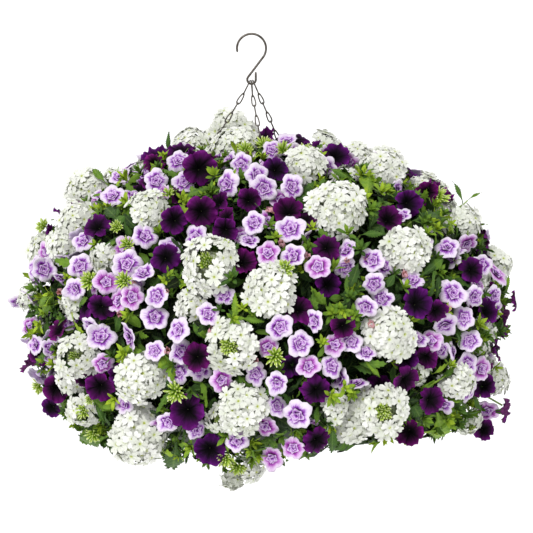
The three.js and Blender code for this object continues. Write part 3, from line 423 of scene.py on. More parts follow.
class Heap:
    def __init__(self):
        self.points, self.faces, self.numbers, self.count = [], [], [], 0

    def strew(self, shape, places, axes, sizes, tones):
        """Copies of a shape at some places, with its x, y and z along each one's axes."""
        points, faces, numbers = shape
        n, p = len(places), len(points)
        if n == 0:
            return
        spots = np.einsum("pk,nkj->npj", points, axes) * np.reshape(sizes, (n, 1, 1))
        spots += np.asarray(places)[:, None, :]
        rows = np.broadcast_to(numbers, (n, p, len(NUMBERS))).copy()
        rows[:, :, -1] += np.reshape(tones, (n, 1))
        self.points.append(spots.reshape(-1, 3))
        self.faces.append((faces[None] + (np.arange(n) * p)[:, None, None]).reshape(-1, 3)
                          + self.count)
        self.numbers.append(rows.reshape(-1, len(NUMBERS)))
        self.count += n * p

    def put(self, shape, tone=0.0):
        """One copy of a shape as it is."""
        self.strew(shape, [[0, 0, 0]], np.eye(3)[None], [1], [tone])

    def piece(self, name, material, slot, nodes=(), smooth=True):
        points, faces = np.concatenate(self.points) * MM, np.concatenate(self.faces)
        numbers = np.concatenate(self.numbers)
        mesh = bpy.data.meshes.new(name)
        mesh.vertices.add(len(points))
        mesh.vertices.foreach_set("co", points.astype(np.float32).ravel())
        mesh.loops.add(faces.size)
        mesh.loops.foreach_set("vertex_index", faces.astype(np.int32).ravel())
        mesh.polygons.add(len(faces))
        mesh.polygons.foreach_set("loop_start", np.arange(0, faces.size, 3, dtype=np.int32))
        mesh.polygons.foreach_set("use_smooth", np.full(len(faces), smooth))
        mesh.update(calc_edges=True)
        for i, number in enumerate(NUMBERS):
            layer = mesh.attributes.new(number, "FLOAT", "POINT")
            layer.data.foreach_set("value", numbers[:, i].astype(np.float32))
        mesh.materials.append(material)
        made = bpy.data.objects.new(name, mesh)
        bpy.context.scene.collection.objects.link(made)
        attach(made, "root")
        if nodes:
            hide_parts(*nodes)


def axes_of(normals, spins):
    normals = unit(np.atleast_2d(normals))
    level = np.where(np.abs(normals[:, 2:3]) > 0.9, [[1.0, 0, 0]], [[0, 0, 1.0]])
    u = unit(np.cross(level, normals))
    v = np.cross(normals, u)
    c, s = np.cos(spins)[:, None], np.sin(spins)[:, None]
    return np.stack([u * c + v * s, v * c - u * s, normals], 1)


def grid_faces(rows, columns, from_point=False):
    """Triangles of a grid of points; from_point if its first row is all at one place."""
    faces = []
    for k in range(rows - 1):
        for j in range(columns - 1):
            a, b = k * columns + j, k * columns + j + 1
            c, d = a + columns, b + columns
            if k or not from_point:
                faces.append((a, d, b))
            faces.append((a, c, d))
    return np.array(faces)


def sheet(rim, rise, rows, columns, thick=0.0, layer=FIRST, back=None, even=1.0):
    """A round sheet: rim gives its radius by the turn, rise its height by the reach and turn."""
    s, t = grid(np.linspace(0, 1, rows + 1) ** even, np.linspace(0, TURN, columns + 1))
    points = spun(s * rim(t), t, rise(s, t))
    faces = grid_faces(rows + 1, columns + 1, from_point=True)
    if back is None:
        return points, faces, numbers_of(s, t / TURN, layer)
    n = len(points)
    edge = np.arange(columns) + rows * (columns + 1)
    hem = np.concatenate([np.stack([edge, edge + n, edge + 1], 1),
                          np.stack([edge + 1, edge + n, edge + n + 1], 1)])
    return (np.concatenate([points, points - [0, 0, thick]]),
            np.concatenate([faces, faces[:, ::-1] + n, hem]),
            np.concatenate([numbers_of(s, t / TURN, layer), numbers_of(s, t / TURN, back)]))


def joined(*shapes):
    points, faces, numbers, count = [], [], [], 0
    for p, f, n in shapes:
        points.append(p)
        faces.append(f + count)
        numbers.append(n)
        count += len(p)
    return np.concatenate(points), np.concatenate(faces), np.concatenate(numbers)


def tube(points, radii, sides=6, layer=FIRST, caps=False):
    """A round bar along some points; reach runs along it and around goes round it."""
    points = np.asarray(points, float)
    ahead = unit(np.gradient(points, axis=0))
    u = across(ahead[0])[0]
    turn = np.arange(sides + 1)[:, None] / sides * TURN
    rings = []
    for p, r, a in zip(points, np.broadcast_to(radii, len(points)), ahead):
        u = unit(u - a * (u @ a))
        rings.append(p + r * (np.cos(turn) * u + np.sin(turn) * np.cross(a, u)))
    spots = np.concatenate(rings)
    s, around = grid(np.linspace(0, 1, len(points)), np.arange(sides + 1) / sides)
    faces = grid_faces(len(points), sides + 1)[:, ::-1]
    if caps:
        first, last = len(spots), len(spots) + 1
        spots = np.concatenate([spots, points[:1], points[-1:]])
        s, around = np.append(s, [0, 1]), np.append(around, [0, 0])
        n = (len(points) - 1) * (sides + 1)
        ends = [(first, j + 1, j) for j in range(sides)]
        ends += [(last, n + j, n + j + 1) for j in range(sides)]
        faces = np.concatenate([faces, np.array(ends)])
    return spots, faces, numbers_of(s, around, layer)


def spline(corners, steps):
    """Points of a smooth line through corners, from the second to before the last but one."""
    t = np.linspace(0, 1, steps, endpoint=False)[:, None]
    return np.concatenate([
        0.5 * (2 * b + (c - a) * t + (2 * a - 5 * b + 4 * c - d) * t**2
               + (3 * b - a - 3 * c + d) * t**3)
        for a, b, c, d in zip(corners, corners[1:], corners[2:], corners[3:])])


def curve(points, count):
    """Even steps along a smooth line through some points."""
    p = np.asarray(points, float)
    spots = spline(np.concatenate([[2 * p[0] - p[1]], p, [2 * p[-1] - p[-2]]]), 8)
    spots = np.concatenate([spots, p[-1:]])
    run = np.append(0, np.cumsum(np.linalg.norm(np.diff(spots, axis=0), axis=1)))
    steps = np.linspace(0, run[-1], count)
    return np.stack([np.interp(steps, run, spots[:, k]) for k in range(3)], 1)


# ---- Materials ----
MIX_INPUTS, MIX_OUTPUT = (0, 6, 7), 2  # a Mix node's factor and colours, and its mixed colour


def srgb(r, g, b):
    return tuple((c / 12.92 if c <= 0.04045 else ((c + 0.055) / 1.055) ** 2.4)
                 for c in (r / 255, g / 255, b / 255)) + (1.0,)


class Value:
    """A number or colour that varies over a surface; its operators add nodes to its look."""

    def __init__(self, look, socket):
        self.look, self.socket = look, socket

    def __rsub__(self, other):
        return self.look.math("SUBTRACT", other, self)

    def __abs__(self):
        return self.look.math("ABSOLUTE", self)


for sign, operation in (("add", "ADD"), ("sub", "SUBTRACT"), ("mul", "MULTIPLY"),
                        ("pow", "POWER"), ("gt", "GREATER_THAN")):
    setattr(Value, f"__{sign}__", lambda one, other, operation=operation:
            one.look.math(operation, one, other))


class Look:
    def __init__(self, name, roughness, specular=0.5, metallic=0.0):
        self.material = bpy.data.materials.new(name)
        self.material.use_nodes = True
        self.tree = self.material.node_tree
        self.shader = self.tree.nodes["Principled BSDF"]
        self.set(self.shader, Roughness=roughness, Metallic=metallic, Specular_IOR_Level=specular)

    def feed(self, socket, value):
        if isinstance(value, Value):
            self.tree.links.new(value.socket, socket)
        else:
            socket.default_value = value

    def set(self, node, **values):
        for name, value in values.items():
            self.feed(node.inputs[name.replace("_", " ")], value)

    def node(self, kind, output=0, **values):
        """A new node, and what one of its outputs gives."""
        node = self.tree.nodes.new("ShaderNode" + kind)
        self.set(node, **values)
        return node, Value(self, node.outputs[output])

    def number(self, name):
        node, value = self.node("Attribute", "Fac")
        node.attribute_name = name
        return value

    def math(self, operation, *values):
        node, result = self.node("Math")
        node.operation = operation
        for socket, value in zip(node.inputs, values):
            self.feed(socket, value)
        return result

    def ramp(self, fac, stops):
        node, value = self.node("ValToRGB", Fac=fac)
        elements = node.color_ramp.elements
        while len(elements) < len(stops):
            elements.new(0.5)
        for element, (position, colour) in zip(elements, stops):
            element.position, element.color = position, srgb(*colour)
        return value

    def mix(self, fac, a, b, blend="MIX"):
        node = self.node("Mix")[0]
        node.data_type, node.blend_type = "RGBA", blend
        for number, value in zip(MIX_INPUTS, (fac, a, b)):
            self.feed(node.inputs[number], value)
        return Value(self, node.outputs[MIX_OUTPUT])

    def layered(self, first, second, third):
        """The colour of each layer of the shapes that have this look."""
        layer = self.number("layer")
        front = self.mix(layer > (FIRST + SECOND) / 2, first, second)
        return self.mix(layer > (SECOND + THIRD) / 2, front, third)

    def noise(self, scale, detail=3.0, roughness=0.5, vector=None):
        vector = vector or self.node("TexCoord", "Object")[1]
        return self.node("TexNoise", "Fac", Vector=vector, Scale=scale, Detail=detail,
                         Roughness=roughness)[1]

    def veins(self, rays, stretch):
        """Fine lines that run out from a flower's middle, on no two flowers alike."""
        return self.noise(1.0, 2.0, vector=self.node(
            "CombineXYZ", X=self.number("around") * rays, Y=self.number("reach") * stretch,
            Z=self.number("tone") * FLOWERS_APART)[1])

    def worn(self, scale, smooth, rough):
        """Roughness that varies between two values."""
        self.set(self.shader, Roughness=self.node(
            "MapRange", Value=self.noise(scale, 4.0), To_Min=smooth, To_Max=rough)[1])

    def bump(self, height, distance, strength=0.5):
        self.set(self.shader, Normal=self.node(
            "Bump", "Normal", Height=height, Distance=distance, Strength=strength)[1])

    def colour(self, value):
        self.set(self.shader, Base_Color=value)
        return self.material


def verbena_look():
    look = Look("verbena_white", 0.6, 0.25)
    petal = look.ramp(look.number("reach"), [
        (0.0, (140, 156, 52)), (0.09, (186, 194, 96)), (0.17, (216, 221, 196)),
        (0.4, (229, 230, 223)), (1.0, (235, 235, 231))])
    bud = look.ramp(look.number("reach"), [
        (0.0, (86, 128, 26)), (0.45, (140, 176, 40)), (0.78, (196, 214, 104)),
        (1.0, (240, 244, 208))])
    core = look.ramp(look.noise(200.0), [
        (0.32, (84, 104, 44)), (0.46, (160, 172, 122)), (0.6, (220, 226, 204))])
    lines = look.veins(12.0, 2.0)
    shade = look.mix(look.number("tone"), srgb(232, 235, 226), srgb(255, 255, 255))
    colour = look.mix(0.9, look.layered(petal, bud, core), shade, "MULTIPLY")
    creases = look.ramp(lines, [(0.3, (200, 204, 194)), (0.6, (255, 255, 255))])
    look.bump(lines, 0.0006, 0.4)
    return look.colour(look.mix(0.2, colour, creases, "MULTIPLY"))


def petunia_look():
    look = Look("petunia_velvet", 0.75, 0.08)
    look.set(look.shader, Sheen_Weight=0.02, Sheen_Roughness=0.35,
             Sheen_Tint=srgb(150, 40, 170))
    lines = look.veins(46.0, 1.5)
    # Painted shade: seam is 1 along the seams between the lobes, where the petal folds in, and
    # lowers the reach there so the colour is darker.
    seam = (1.0 - abs(look.math("COSINE", look.number("around") * (2.5 * TURN)))) ** 3.0
    reach = (look.number("reach") + (lines - 0.5) * 0.32 + (look.noise(70.0) - 0.5) * 0.45
             - seam * 0.28)
    violet = look.ramp(reach, [
        (0.0, (3, 2, 4)), (0.3, (7, 3, 8)), (0.48, (24, 5, 31)), (0.66, (49, 7, 62)),
        (0.85, (70, 10, 86)), (1.0, (98, 26, 118))])
    magenta = look.ramp(reach, [
        (0.0, (4, 2, 4)), (0.28, (10, 3, 8)), (0.47, (36, 4, 32)), (0.66, (64, 6, 58)),
        (0.85, (88, 10, 80)), (1.0, (118, 24, 108))])
    petal = look.mix(look.number("tone") ** 1.1, violet, magenta)
    back = look.ramp(lines, [(0.3, (74, 26, 82)), (0.7, (128, 66, 118))])
    pollen = look.ramp(lines, [(0.3, (44, 48, 34)), (0.7, (84, 86, 62))])
    look.bump(lines, 0.001, 0.5)
    return look.colour(look.layered(petal, back, pollen))


def calibrachoa_look():
    look = Look("calibrachoa_lilac", 0.6, 0.25)
    lines = look.veins(70.0, 1.2)
    reach = look.number("reach") + (lines - 0.5) * 0.42 + (look.noise(160.0) - 0.5) * 0.5
    pale = look.ramp(reach, [
        (0.0, (52, 10, 66)), (0.36, (76, 14, 98)), (0.47, (112, 34, 142)), (0.56, (158, 94, 186)),
        (0.65, (198, 170, 213)), (0.77, (220, 205, 226)), (1.0, (226, 217, 230))])
    deep = look.ramp(reach, [
        (0.0, (60, 10, 66)), (0.36, (92, 14, 96)), (0.48, (134, 38, 144)), (0.6, (172, 94, 182)),
        (0.72, (200, 156, 208)), (0.86, (214, 188, 220)), (1.0, (222, 208, 227))])
    petal = look.mix(look.number("tone") > 0.75, pale, deep)
    crown = look.ramp(look.number("reach"), [
        (0.0, (68, 10, 90)), (0.18, (106, 30, 138)), (0.4, (164, 98, 190)),
        (0.62, (204, 162, 218)), (0.85, (218, 196, 228)), (1.0, (226, 212, 232))])
    back = look.ramp(reach, [
        (0.2, (140, 100, 160)), (0.7, (190, 172, 204)), (1.0, (214, 204, 222))])
    look.bump(lines, 0.0006, 0.4)
    return look.colour(look.layered(petal, crown, back))


def leaf_look():
    look = Look("leaf_blade", 0.55, 0.12)
    # The tone runs from near-black green, painted shade on the deepest leaves, to the lime of young
    # shoots; the noise varies it at random.
    green = look.ramp(look.number("tone") + (look.noise(90.0) - 0.5) * 0.35, [
        (0.0, (13, 19, 11)), (0.28, (32, 52, 26)), (0.5, (64, 97, 38)), (0.75, (106, 140, 42)),
        (1.0, (162, 188, 50))])
    side = abs(look.number("around") - 0.5)
    side_ribs = look.math("SINE", (look.number("reach") - side * 0.55) * 58.0)
    ribs = look.math("MAXIMUM", 1.0 - side * 14.0, (side_ribs - 0.72) * 1.8)
    pale = look.mix(1.0, green, srgb(120, 140, 70), "SCREEN")
    look.bump(side_ribs * 0.3 + look.noise(700.0), 0.0008, 0.5)
    return look.colour(look.mix(look.math("MAXIMUM", ribs, 0.0) * 0.3, green, pale))


def stem_look():
    look = Look("stem_green", 0.5, 0.4)
    look.bump(look.noise(900.0), 0.0004, 0.4)
    return look.colour(look.ramp(look.number("tone") + look.noise(120.0) * 0.5, [
        (0.1, (64, 74, 34)), (0.5, (98, 130, 56)), (0.9, (146, 172, 84))]))


def spent_look():
    look = Look("spent_bloom", 0.7, 0.2)
    lines = look.veins(20.0, 1.0)
    look.bump(lines, 0.001, 0.7)
    return look.colour(look.ramp(look.number("reach") * 0.7 + lines * 0.4, [
        (0.0, (160, 170, 70)), (0.3, (222, 178, 128)), (0.65, (226, 172, 160)),
        (1.0, (206, 150, 174))]))


def steel_look():
    look = Look("dark_steel", 0.4, 0.5, 0.85)
    look.worn(500.0, 0.3, 0.55)
    look.bump(look.noise(1400.0, 4.0), 0.0002, 0.4)
    return look.colour(look.ramp(look.noise(260.0, 5.0), [
        (0.3, (70, 64, 58)), (0.6, (108, 102, 96)), (0.8, (132, 126, 118))]))


def pot_look():
    look = Look("pot_moulded", 0.5, 0.5)
    look.worn(140.0, 0.4, 0.65)
    look.bump(look.noise(1600.0, 2.0), 0.0002, 0.35)
    return look.colour(look.ramp(look.noise(70.0, 6.0), [
        (0.3, (44, 54, 38)), (0.55, (58, 70, 50)), (0.8, (84, 90, 68))]))


def soil_look():
    look = Look("soil_dark", 0.95, 0.2)
    look.bump(look.noise(420.0, 6.0, 0.7), 0.003, 0.9)
    return look.colour(look.ramp(look.noise(260.0, 6.0, 0.7), [
        (0.25, (24, 17, 12)), (0.5, (52, 38, 27)), (0.68, (88, 68, 48)),
        (0.85, (140, 118, 90))]))


def floor_look():
    look = Look("floor_pale", 0.9, 0.1)
    return look.colour(look.ramp(look.noise(0.6), [
        (0.0, (250, 250, 250)), (1.0, (255, 255, 255))]))


# ---- Flower shapes, of radius 1, looking up their z ----
def verbena_floret(seed):
    """Five broad petals, each notched at its tip, round a small eye."""
    r = np.random.default_rng(seed)
    sizes, lifts, turns = (r.uniform(low, high, 5)
                           for low, high in ((0.86, 1.1), (-0.2, 0.22), (-0.08, 0.08)))
    side = np.array([0.42, 0.8, 0.96, 1.02, 0.87, 1.02, 0.96, 0.8])
    per = len(side)
    step = np.arange(per * 5 + 1)
    place, which = step % per, step // per % 5
    rim = side[place] * sizes[which]
    middle = np.sin(place / per * math.pi)
    spots, numbers = [], []
    for s, width in ((0, 0), (0.16, 0), (0.6, 0.6), (1.0, 1.0)):
        turn = step / per / 5 * TURN + turns[which] * s
        reach = s * (1 + (rim - 1) * width)
        height = (0.1 - 0.3 * s * (1 - s) * (s > 0.5) + lifts[which] * s * s
                  + 0.1 * s * middle - 0.12 * s**3 * middle) - 0.1 * (s == 0)
        spots.append(spun(reach, turn, height))
        numbers.append(numbers_of(s, place / per))
    return np.concatenate(spots), grid_faces(4, len(step), True), np.concatenate(numbers)


def bud_spike():
    """A slim bud that stands along z from the origin, 1 long."""
    return tube([(0, 0, 0), (0, 0, 0.35), (0, 0, 0.75), (0, 0, 1.0)], [0.06, 0.11, 0.1, 0.03],
                5, SECOND)


def dome(radius, rise, low):
    return sheet(lambda t: radius + 0 * t, lambda s, t: rise - (rise - low) * s**2, 5, 12,
                 layer=THIRD)


def petunia_shape(seed, columns, rows):
    """One trumpet of five ruffled lobes; some are half open, or folded at a side."""
    r = np.random.default_rng(seed)
    phases, cup = r.uniform(0, TURN, 6), r.choice([-0.12, 0.0, 0.1, 0.3])
    lobes = r.uniform(-0.2, 0.2, 5)
    lobes[seed % 5] += r.choice([0, 0.25, -0.3])
    long = r.uniform(0.92, 1.06, 5)

    def by_lobe(values, t):
        return np.interp((t / TURN * 5) % 5, np.arange(6), np.append(values, values[0]))

    def rim(t):
        notch = np.abs(np.cos(2.5 * t)) ** 0.6
        return ((0.79 + 0.19 * notch) * by_lobe(long, t) + 0.028 * np.sin(9 * t + phases[0])
                + 0.024 * np.sin(14 * t + phases[3]))

    def rise(s, t):
        throat = -0.5 + 0.5 * np.clip(s / 0.5, 0, 1) ** 0.6
        out = np.clip((s - 0.4) / 0.6, 0, 1)
        middle = np.abs(np.cos(2.5 * t))
        flare = (cup + by_lobe(lobes, t)) * out**1.5 - 0.16 * out**2.5 * middle
        ruffle = out**2 * (0.1 * np.sin(8 * t + phases[1]) + 0.08 * np.sin(13 * t + phases[2])
                           + 0.04 * np.sin(21 * t + phases[4]))
        seam = -0.12 * np.sin(np.clip(s, 0, 1) * math.pi) * (1 - middle) ** 3
        return throat + flare + ruffle + seam

    face = sheet(rim, rise, rows, columns, thick=0.025, back=SECOND, even=0.9)
    trumpet = tube([(0, 0, -0.82), (0, 0, -0.66), (0, 0, -0.5), (0, 0, -0.26)],
                   [0.08, 0.11, 0.16, 0.34], 10, SECOND)
    stigma = tube([(0.03, 0.02, -0.5), (0.04, 0.03, -0.36), (0.04, 0.04, -0.33)],
                  [0.02, 0.035, 0.015], 5, THIRD, caps=True)
    return joined(face, trumpet, stigma)


def sepals(count, radius, low, high, spread):
    """Green calyx lobes under a bloom, as a leaf-coloured shape."""
    shapes = []
    for k in range(count):
        turn = k / count * TURN
        out, side = spun(1, turn, 0), spun(1, turn + TURN / 4, 0)
        points, numbers = [], []
        for s, w in ((0, 0.5), (0.4, 1.0), (0.8, 0.7), (1.0, 0.1)):
            middle = out * (radius + spread * s) + [0, 0, low + (high - low) * s]
            for g in (-1, 0, 1):
                points.append(middle + side * g * w * radius * 0.7 - out * abs(g) * 0.02)
                numbers.append(numbers_of(s, 0.5 + g * 0.5))
        shapes.append((np.array(points), grid_faces(4, 3), np.array(numbers)))
    return joined(*shapes)


def calibrachoa_shape(seed, columns, rows):
    """Five broad rounded lobes round a cup of small ruffled petals."""
    r = np.random.default_rng(seed)
    lobes, phases = r.uniform(-0.32, 0.28, 6), r.uniform(0, TURN, 6)
    lobes[seed % 5] += r.choice([0, 0.5, -0.4])
    lobes[5] = lobes[0]
    long = r.uniform(0.9, 1.08, 5)

    def rim(t):
        lobe = np.floor((t / TURN * 5 + 0.5) % 5).astype(int) % 5
        return (0.74 + 0.29 * np.abs(np.cos(2.5 * t)) ** 0.55 * long[lobe]
                + 0.07 * np.sin(2 * t + phases[3]) + 0.024 * np.sin(13 * t + phases[0]))

    def rise(s, t):
        middle = np.abs(np.cos(2.5 * t))
        funnel = -0.22 + 0.24 * np.clip(s / 0.5, 0, 1) ** 0.8
        lift = np.interp((t / TURN * 5) % 5, np.arange(6), lobes)
        return (funnel + lift * s**3 + 0.13 * s * (middle - 0.6) - 0.1 * s**4 * middle
                + 0.04 * s**3 * np.sin(9 * t + phases[1]))

    shapes = [sheet(rim, rise, rows, columns, thick=0.03, back=THIRD, even=0.8)]
    # The cup's rings of petals: how many, how far out, length, width, lean and height.
    for count, at, length, width, stand, height in ((5, 0.12, 0.4, 0.25, 0.62, -0.04),
                                                    (4, 0.05, 0.3, 0.18, 1.0, 0.02),
                                                    (2, 0.01, 0.24, 0.13, 1.3, 0.06)):
        for k in range(count):
            turn = (k + r.uniform(-0.15, 0.15)) / count * TURN + phases[count]
            shapes.append(small_petal(at, length * r.uniform(0.85, 1.15),
                                      width * r.uniform(0.85, 1.1),
                                      stand + r.uniform(-0.2, 0.2), height, turn, phases[2] + k))
    shapes.append(tube([(0, 0, -0.62), (0, 0, -0.4), (0, 0, -0.14)], [0.08, 0.12, 0.3], 9, THIRD))
    return joined(*shapes)


def small_petal(at, length, width, stand, height, turn, phase):
    """A cupped petal that stands up from beside a flower's middle, pale at its edge."""
    t, g = grid(np.linspace(0, 1, 5), np.linspace(-1, 1, 5))
    side = g * width * np.sin((0.12 + 0.8 * t) * math.pi) ** 0.7
    lean = stand * (1 - 0.5 * t)
    out = at + length * t * np.cos(lean) - 0.3 * width * g * g
    up = height + length * t * np.sin(lean) + 0.12 * width * np.sin(5 * g + phase) * t
    spots = np.stack([out * math.cos(turn) - side * math.sin(turn),
                      out * math.sin(turn) + side * math.cos(turn), up], 1)
    reach = np.maximum(0.9 * t**1.5, 0.3 * t + 0.75 * np.abs(g) ** 3 * t**0.5) + 0.1 * t
    return spots, grid_faces(5, 5)[:, ::-1], numbers_of(reach, 0.5 + 0.5 * g, SECOND)


def spent_shape(seed):
    """A limp, crumpled trumpet that stands along z, 1 long."""
    r = np.random.default_rng(seed)
    bends = r.uniform(-0.15, 0.15, (5, 2))
    turn = np.linspace(0, TURN, 11)
    spots, numbers = [], []
    for k, (s, radius) in enumerate(
            [(0, 0.06), (0.3, 0.09), (0.6, 0.15), (0.85, 0.25), (1.0, 0.2)]):
        crumple = radius * (1 + 0.35 * s * np.sin(5 * turn + k) + 0.2 * s * np.sin(3 * turn - k))
        spots.append(spun(crumple, turn, s + 0.1 * s * np.sin(4 * turn)) + [*bends[k] * s, 0])
        numbers.append(numbers_of(s, turn / TURN))
    return np.concatenate(spots), grid_faces(5, 11)[:, ::-1], np.concatenate(numbers)


# ---- Leaves, 1 long along x, y across and z up ----
def leaf_shape(stations, outline, tooth, arch, fold, seed, columns=3):
    """A blade round an outline of (share of the length, half the width); a tooth deep or plain."""
    r = np.random.default_rng(seed)
    t, g = grid(np.linspace(0, 1, stations), np.linspace(-1, 1, columns))
    odd = np.repeat(np.arange(stations) % 2, columns)
    rim = np.abs(g) == 1
    width = np.interp(t, [p for p, _ in outline], [w for _, w in outline])
    width = width * (1 - tooth * odd * rim * (t < 0.97))
    point = 0.05 * (tooth > 0) * rim * (1 - odd) * (t < 0.95)
    wave = 0.03 * np.sin(9 * t + 2 * g + seed) * np.abs(g)
    height = arch * 4 * (t - t**2) - 0.35 * arch * t**2 - fold * np.abs(g) * width + wave
    return (np.stack([t + point, g * width, height], 1), grid_faces(stations, columns)[:, ::-1],
            numbers_of(t, 0.5 + g * 0.5, FIRST, r.uniform(-0.03, 0.03, len(t))))


# ---- Camera and light ----
scene = bpy.context.scene


def placed(name, data, x, y, z, at=(0, 0, 0)):
    """An object with its x, y and z along some directions, linked into the scene."""
    made = bpy.data.objects.new(name, data)
    made.matrix_world = Matrix([[x[k], y[k], z[k], at[k]] for k in range(3)] + [[0, 0, 0, 1]])
    scene.collection.objects.link(made)
    return made


camera = placed("camera", bpy.data.cameras.new("camera"), RIGHT, UPWARD, -FORWARD, EYE * MM)
camera.data.sensor_width = SENSOR_WIDTH
camera.data.lens = SENSOR_WIDTH * EYE_DISTANCE / (2 * PICTURE_MIDDLE * PIXEL)
camera.data.clip_end = 1000
scene.camera = camera
scene.view_settings.view_transform = "Standard"

world = bpy.data.worlds.new("studio")
scene.world = world
world.use_nodes = True
sky = world.node_tree.nodes["Background"]
sky.inputs["Color"].default_value = (1, 1, 1, 1)
sight_only = world.node_tree.nodes.new("ShaderNodeLightPath").outputs["Is Camera Ray"]
glow = world.node_tree.nodes.new("ShaderNodeMath")
glow.operation = "MULTIPLY_ADD"
glow.inputs[1].default_value, glow.inputs[2].default_value = 1 - SKY_LIGHT, SKY_LIGHT
world.node_tree.links.new(sight_only, glow.inputs[0])
world.node_tree.links.new(glow.outputs[0], sky.inputs["Strength"])

for name, way, energy, width in SUNS:
    lamp = bpy.data.lights.new(name, "SUN")
    lamp.energy, lamp.angle = energy, width * DEGREE
    placed(name, lamp, *across(unit(way)), unit(way))

floor_mesh = bpy.data.meshes.new("floor")
floor_mesh.from_pydata([(x * FLOOR_REACH, y * FLOOR_REACH, FLOOR_Z)
                        for x, y in ((-1, -1), (1, -1), (1, 1), (-1, 1))], [], [(0, 1, 2, 3)])
floor_mesh.materials.append(floor_look())
placed("floor", floor_mesh, *np.eye(3))

# ---- Hook ----
STEEL = steel_look()
HOOK_TOP = np.array([0, 0, -(HOOK_TOP_RADIUS - HOOK_WIRE / 2)])
HOOK_FOOT = np.array([0, 0, -float(HOOK_FOOT_BELOW)])


def arc(middle, radius, start, end, steps):
    angle = np.linspace(start, end, steps + 1) * DEGREE
    return middle + radius * np.stack([np.cos(angle), 0 * angle, np.sin(angle)], 1)


def make_hook():
    lean = math.acos((HOOK_TOP_RADIUS + HOOK_FOOT_RADIUS) / (HOOK_TOP[2] - HOOK_FOOT[2])) / DEGREE
    top = arc(HOOK_TOP, HOOK_TOP_RADIUS, HOOK_TIP_ANGLE, lean - 90, 48)
    foot = arc(HOOK_FOOT, HOOK_FOOT_RADIUS, 90 + lean, 360, 28)
    shank = top[-1] + (foot[0] - top[-1]) * np.linspace(0, 1, 10)[1:-1, None]
    tail = foot[-1] + np.array([0, 0, HOOK_TAIL]) * np.linspace(0, 1, 6)[1:, None]
    path = np.concatenate([top, shank, foot, tail])
    radii = np.full(len(path), HOOK_WIRE / 2)
    radii[[0, -1]] *= 0.55  # rounded ends
    radii[[1, -2]] *= 0.93
    heap = Heap()
    heap.put(tube(path, radii, 14, caps=True))
    heap.piece("hook_steel", STEEL, "steel", ["hook"])


# ---- Chains ----
def ring_bar(points, sides=8):
    """A closed bar of the chains' wire through some points."""
    n = len(points)
    ahead = unit(np.roll(points, -1, 0) - np.roll(points, 1, 0))
    level = unit(np.cross(points[n // 4] - points.mean(0), points[0] - points.mean(0)))
    inward = np.cross(ahead, level)
    turn = np.arange(sides) / sides * TURN
    spots = (points[:, None] + CHAIN_WIRE / 2 * (np.cos(turn)[None, :, None] * level
                                                 + np.sin(turn)[None, :, None] * inward[:, None]))
    faces = []
    for i in range(n):
        for j in range(sides):
            a, b = i * sides + j, i * sides + (j + 1) % sides
            c, d = (i + 1) % n * sides + j, (i + 1) % n * sides + (j + 1) % sides
            faces += [(a, b, d), (a, d, c)]
    return (spots.reshape(-1, 3), np.array(faces),
            numbers_of(np.repeat(np.arange(n) / n, sides), 0.0))


def link_line(right, middle, side, up):
    """A smooth closed line from its right half's corners, each [across, along] from a middle."""
    outline = right + [(-a, b) for a, b in reversed(right) if a]
    corners = np.array([middle + side * a + up * b for a, b in outline])
    return spline(np.concatenate([corners[-1:], corners, corners[:2]]), 6)


def make_chain(name, azimuth, seat):
    out = spun(1, azimuth * DEGREE, 0)
    lean = np.array([math.cos(seat * DEGREE), 0, math.sin(seat * DEGREE)])
    wire = CHAIN_WIRE / 2
    top = HOOK_FOOT + lean * (HOOK_FOOT_RADIUS - HOOK_WIRE / 2 - wire - GAP)
    hung = unit([lean[0] * 0.35 + out[0] * 0.25, out[1] * 0.25, -1])
    width, length = TOP_LINK["width"] / 2 - wire, TOP_LINK["length"]
    first = top + hung * length
    clip_top = POT["rim_z"] - POT["lip"] - GAP - wire + CLIP_LENGTH
    last = out * (RIM_HOLE_AT + CLIP_WIDTH / 2) + np.array([0, 0, clip_top])
    count = 2 * round(float(np.linalg.norm(first - last)) / LINK_PITCH / 2)
    joints = first + (last - first) * np.linspace(0, 1, count + 1)[:, None]
    up = unit(first - last)
    side = unit(np.array([0, 1.0, 0]) - up * up[1])
    heap = Heap()
    heap.put(ring_bar(link_line(
        [(0, -wire), (width * 0.55, length * 0.22), (width, length * 0.7),
         (width * 0.8, length * 0.97), (0, length * 1.03)], first, side, -hung)))
    half = LINK_WIDTH / 2 - wire
    step = np.linalg.norm(joints[0] - joints[1]) + CHAIN_WIRE
    for joint in joints[1:]:
        side = unit(np.cross(up, side))
        heap.put(ring_bar(link_line(
            [(0, 0), (half * 0.72, step * 0.08), (half, step * 0.3), (half * 0.86, step * 0.62),
             (half * 0.5, step * 0.9), (0, step)], joint - up * wire, side, up)))
    clip, long = CLIP_WIDTH / 2, CLIP_LENGTH
    heap.put(ring_bar(link_line(
        [(0, wire), (clip * 0.7, -long * 0.16), (clip, -long * 0.4), (clip, -long * 0.9),
         (clip * 0.6, -long)], last, out, np.array([0, 0, 1.0]))))
    heap.piece(name + "_links", STEEL, "steel", [name])


# ---- Pot and soil ----
def turned(profile, columns):
    """A shape turned round z from a list of (radius, height)."""
    reach, t = grid(np.linspace(0, 1, len(profile)), np.linspace(0, TURN, columns + 1))
    r, z = np.repeat(np.asarray(profile, float), columns + 1, axis=0).T
    faces = grid_faces(len(profile), columns + 1)[:, ::-1]
    return spun(r, t, z), faces, numbers_of(reach, t / TURN)


def with_area(points, faces, numbers):
    """The same shape without the faces that have no area, such as half of those at an axis."""
    a, b, c = points[faces.T]
    return points, faces[np.linalg.norm(np.cross(b - a, c - a), axis=1) > 0], numbers


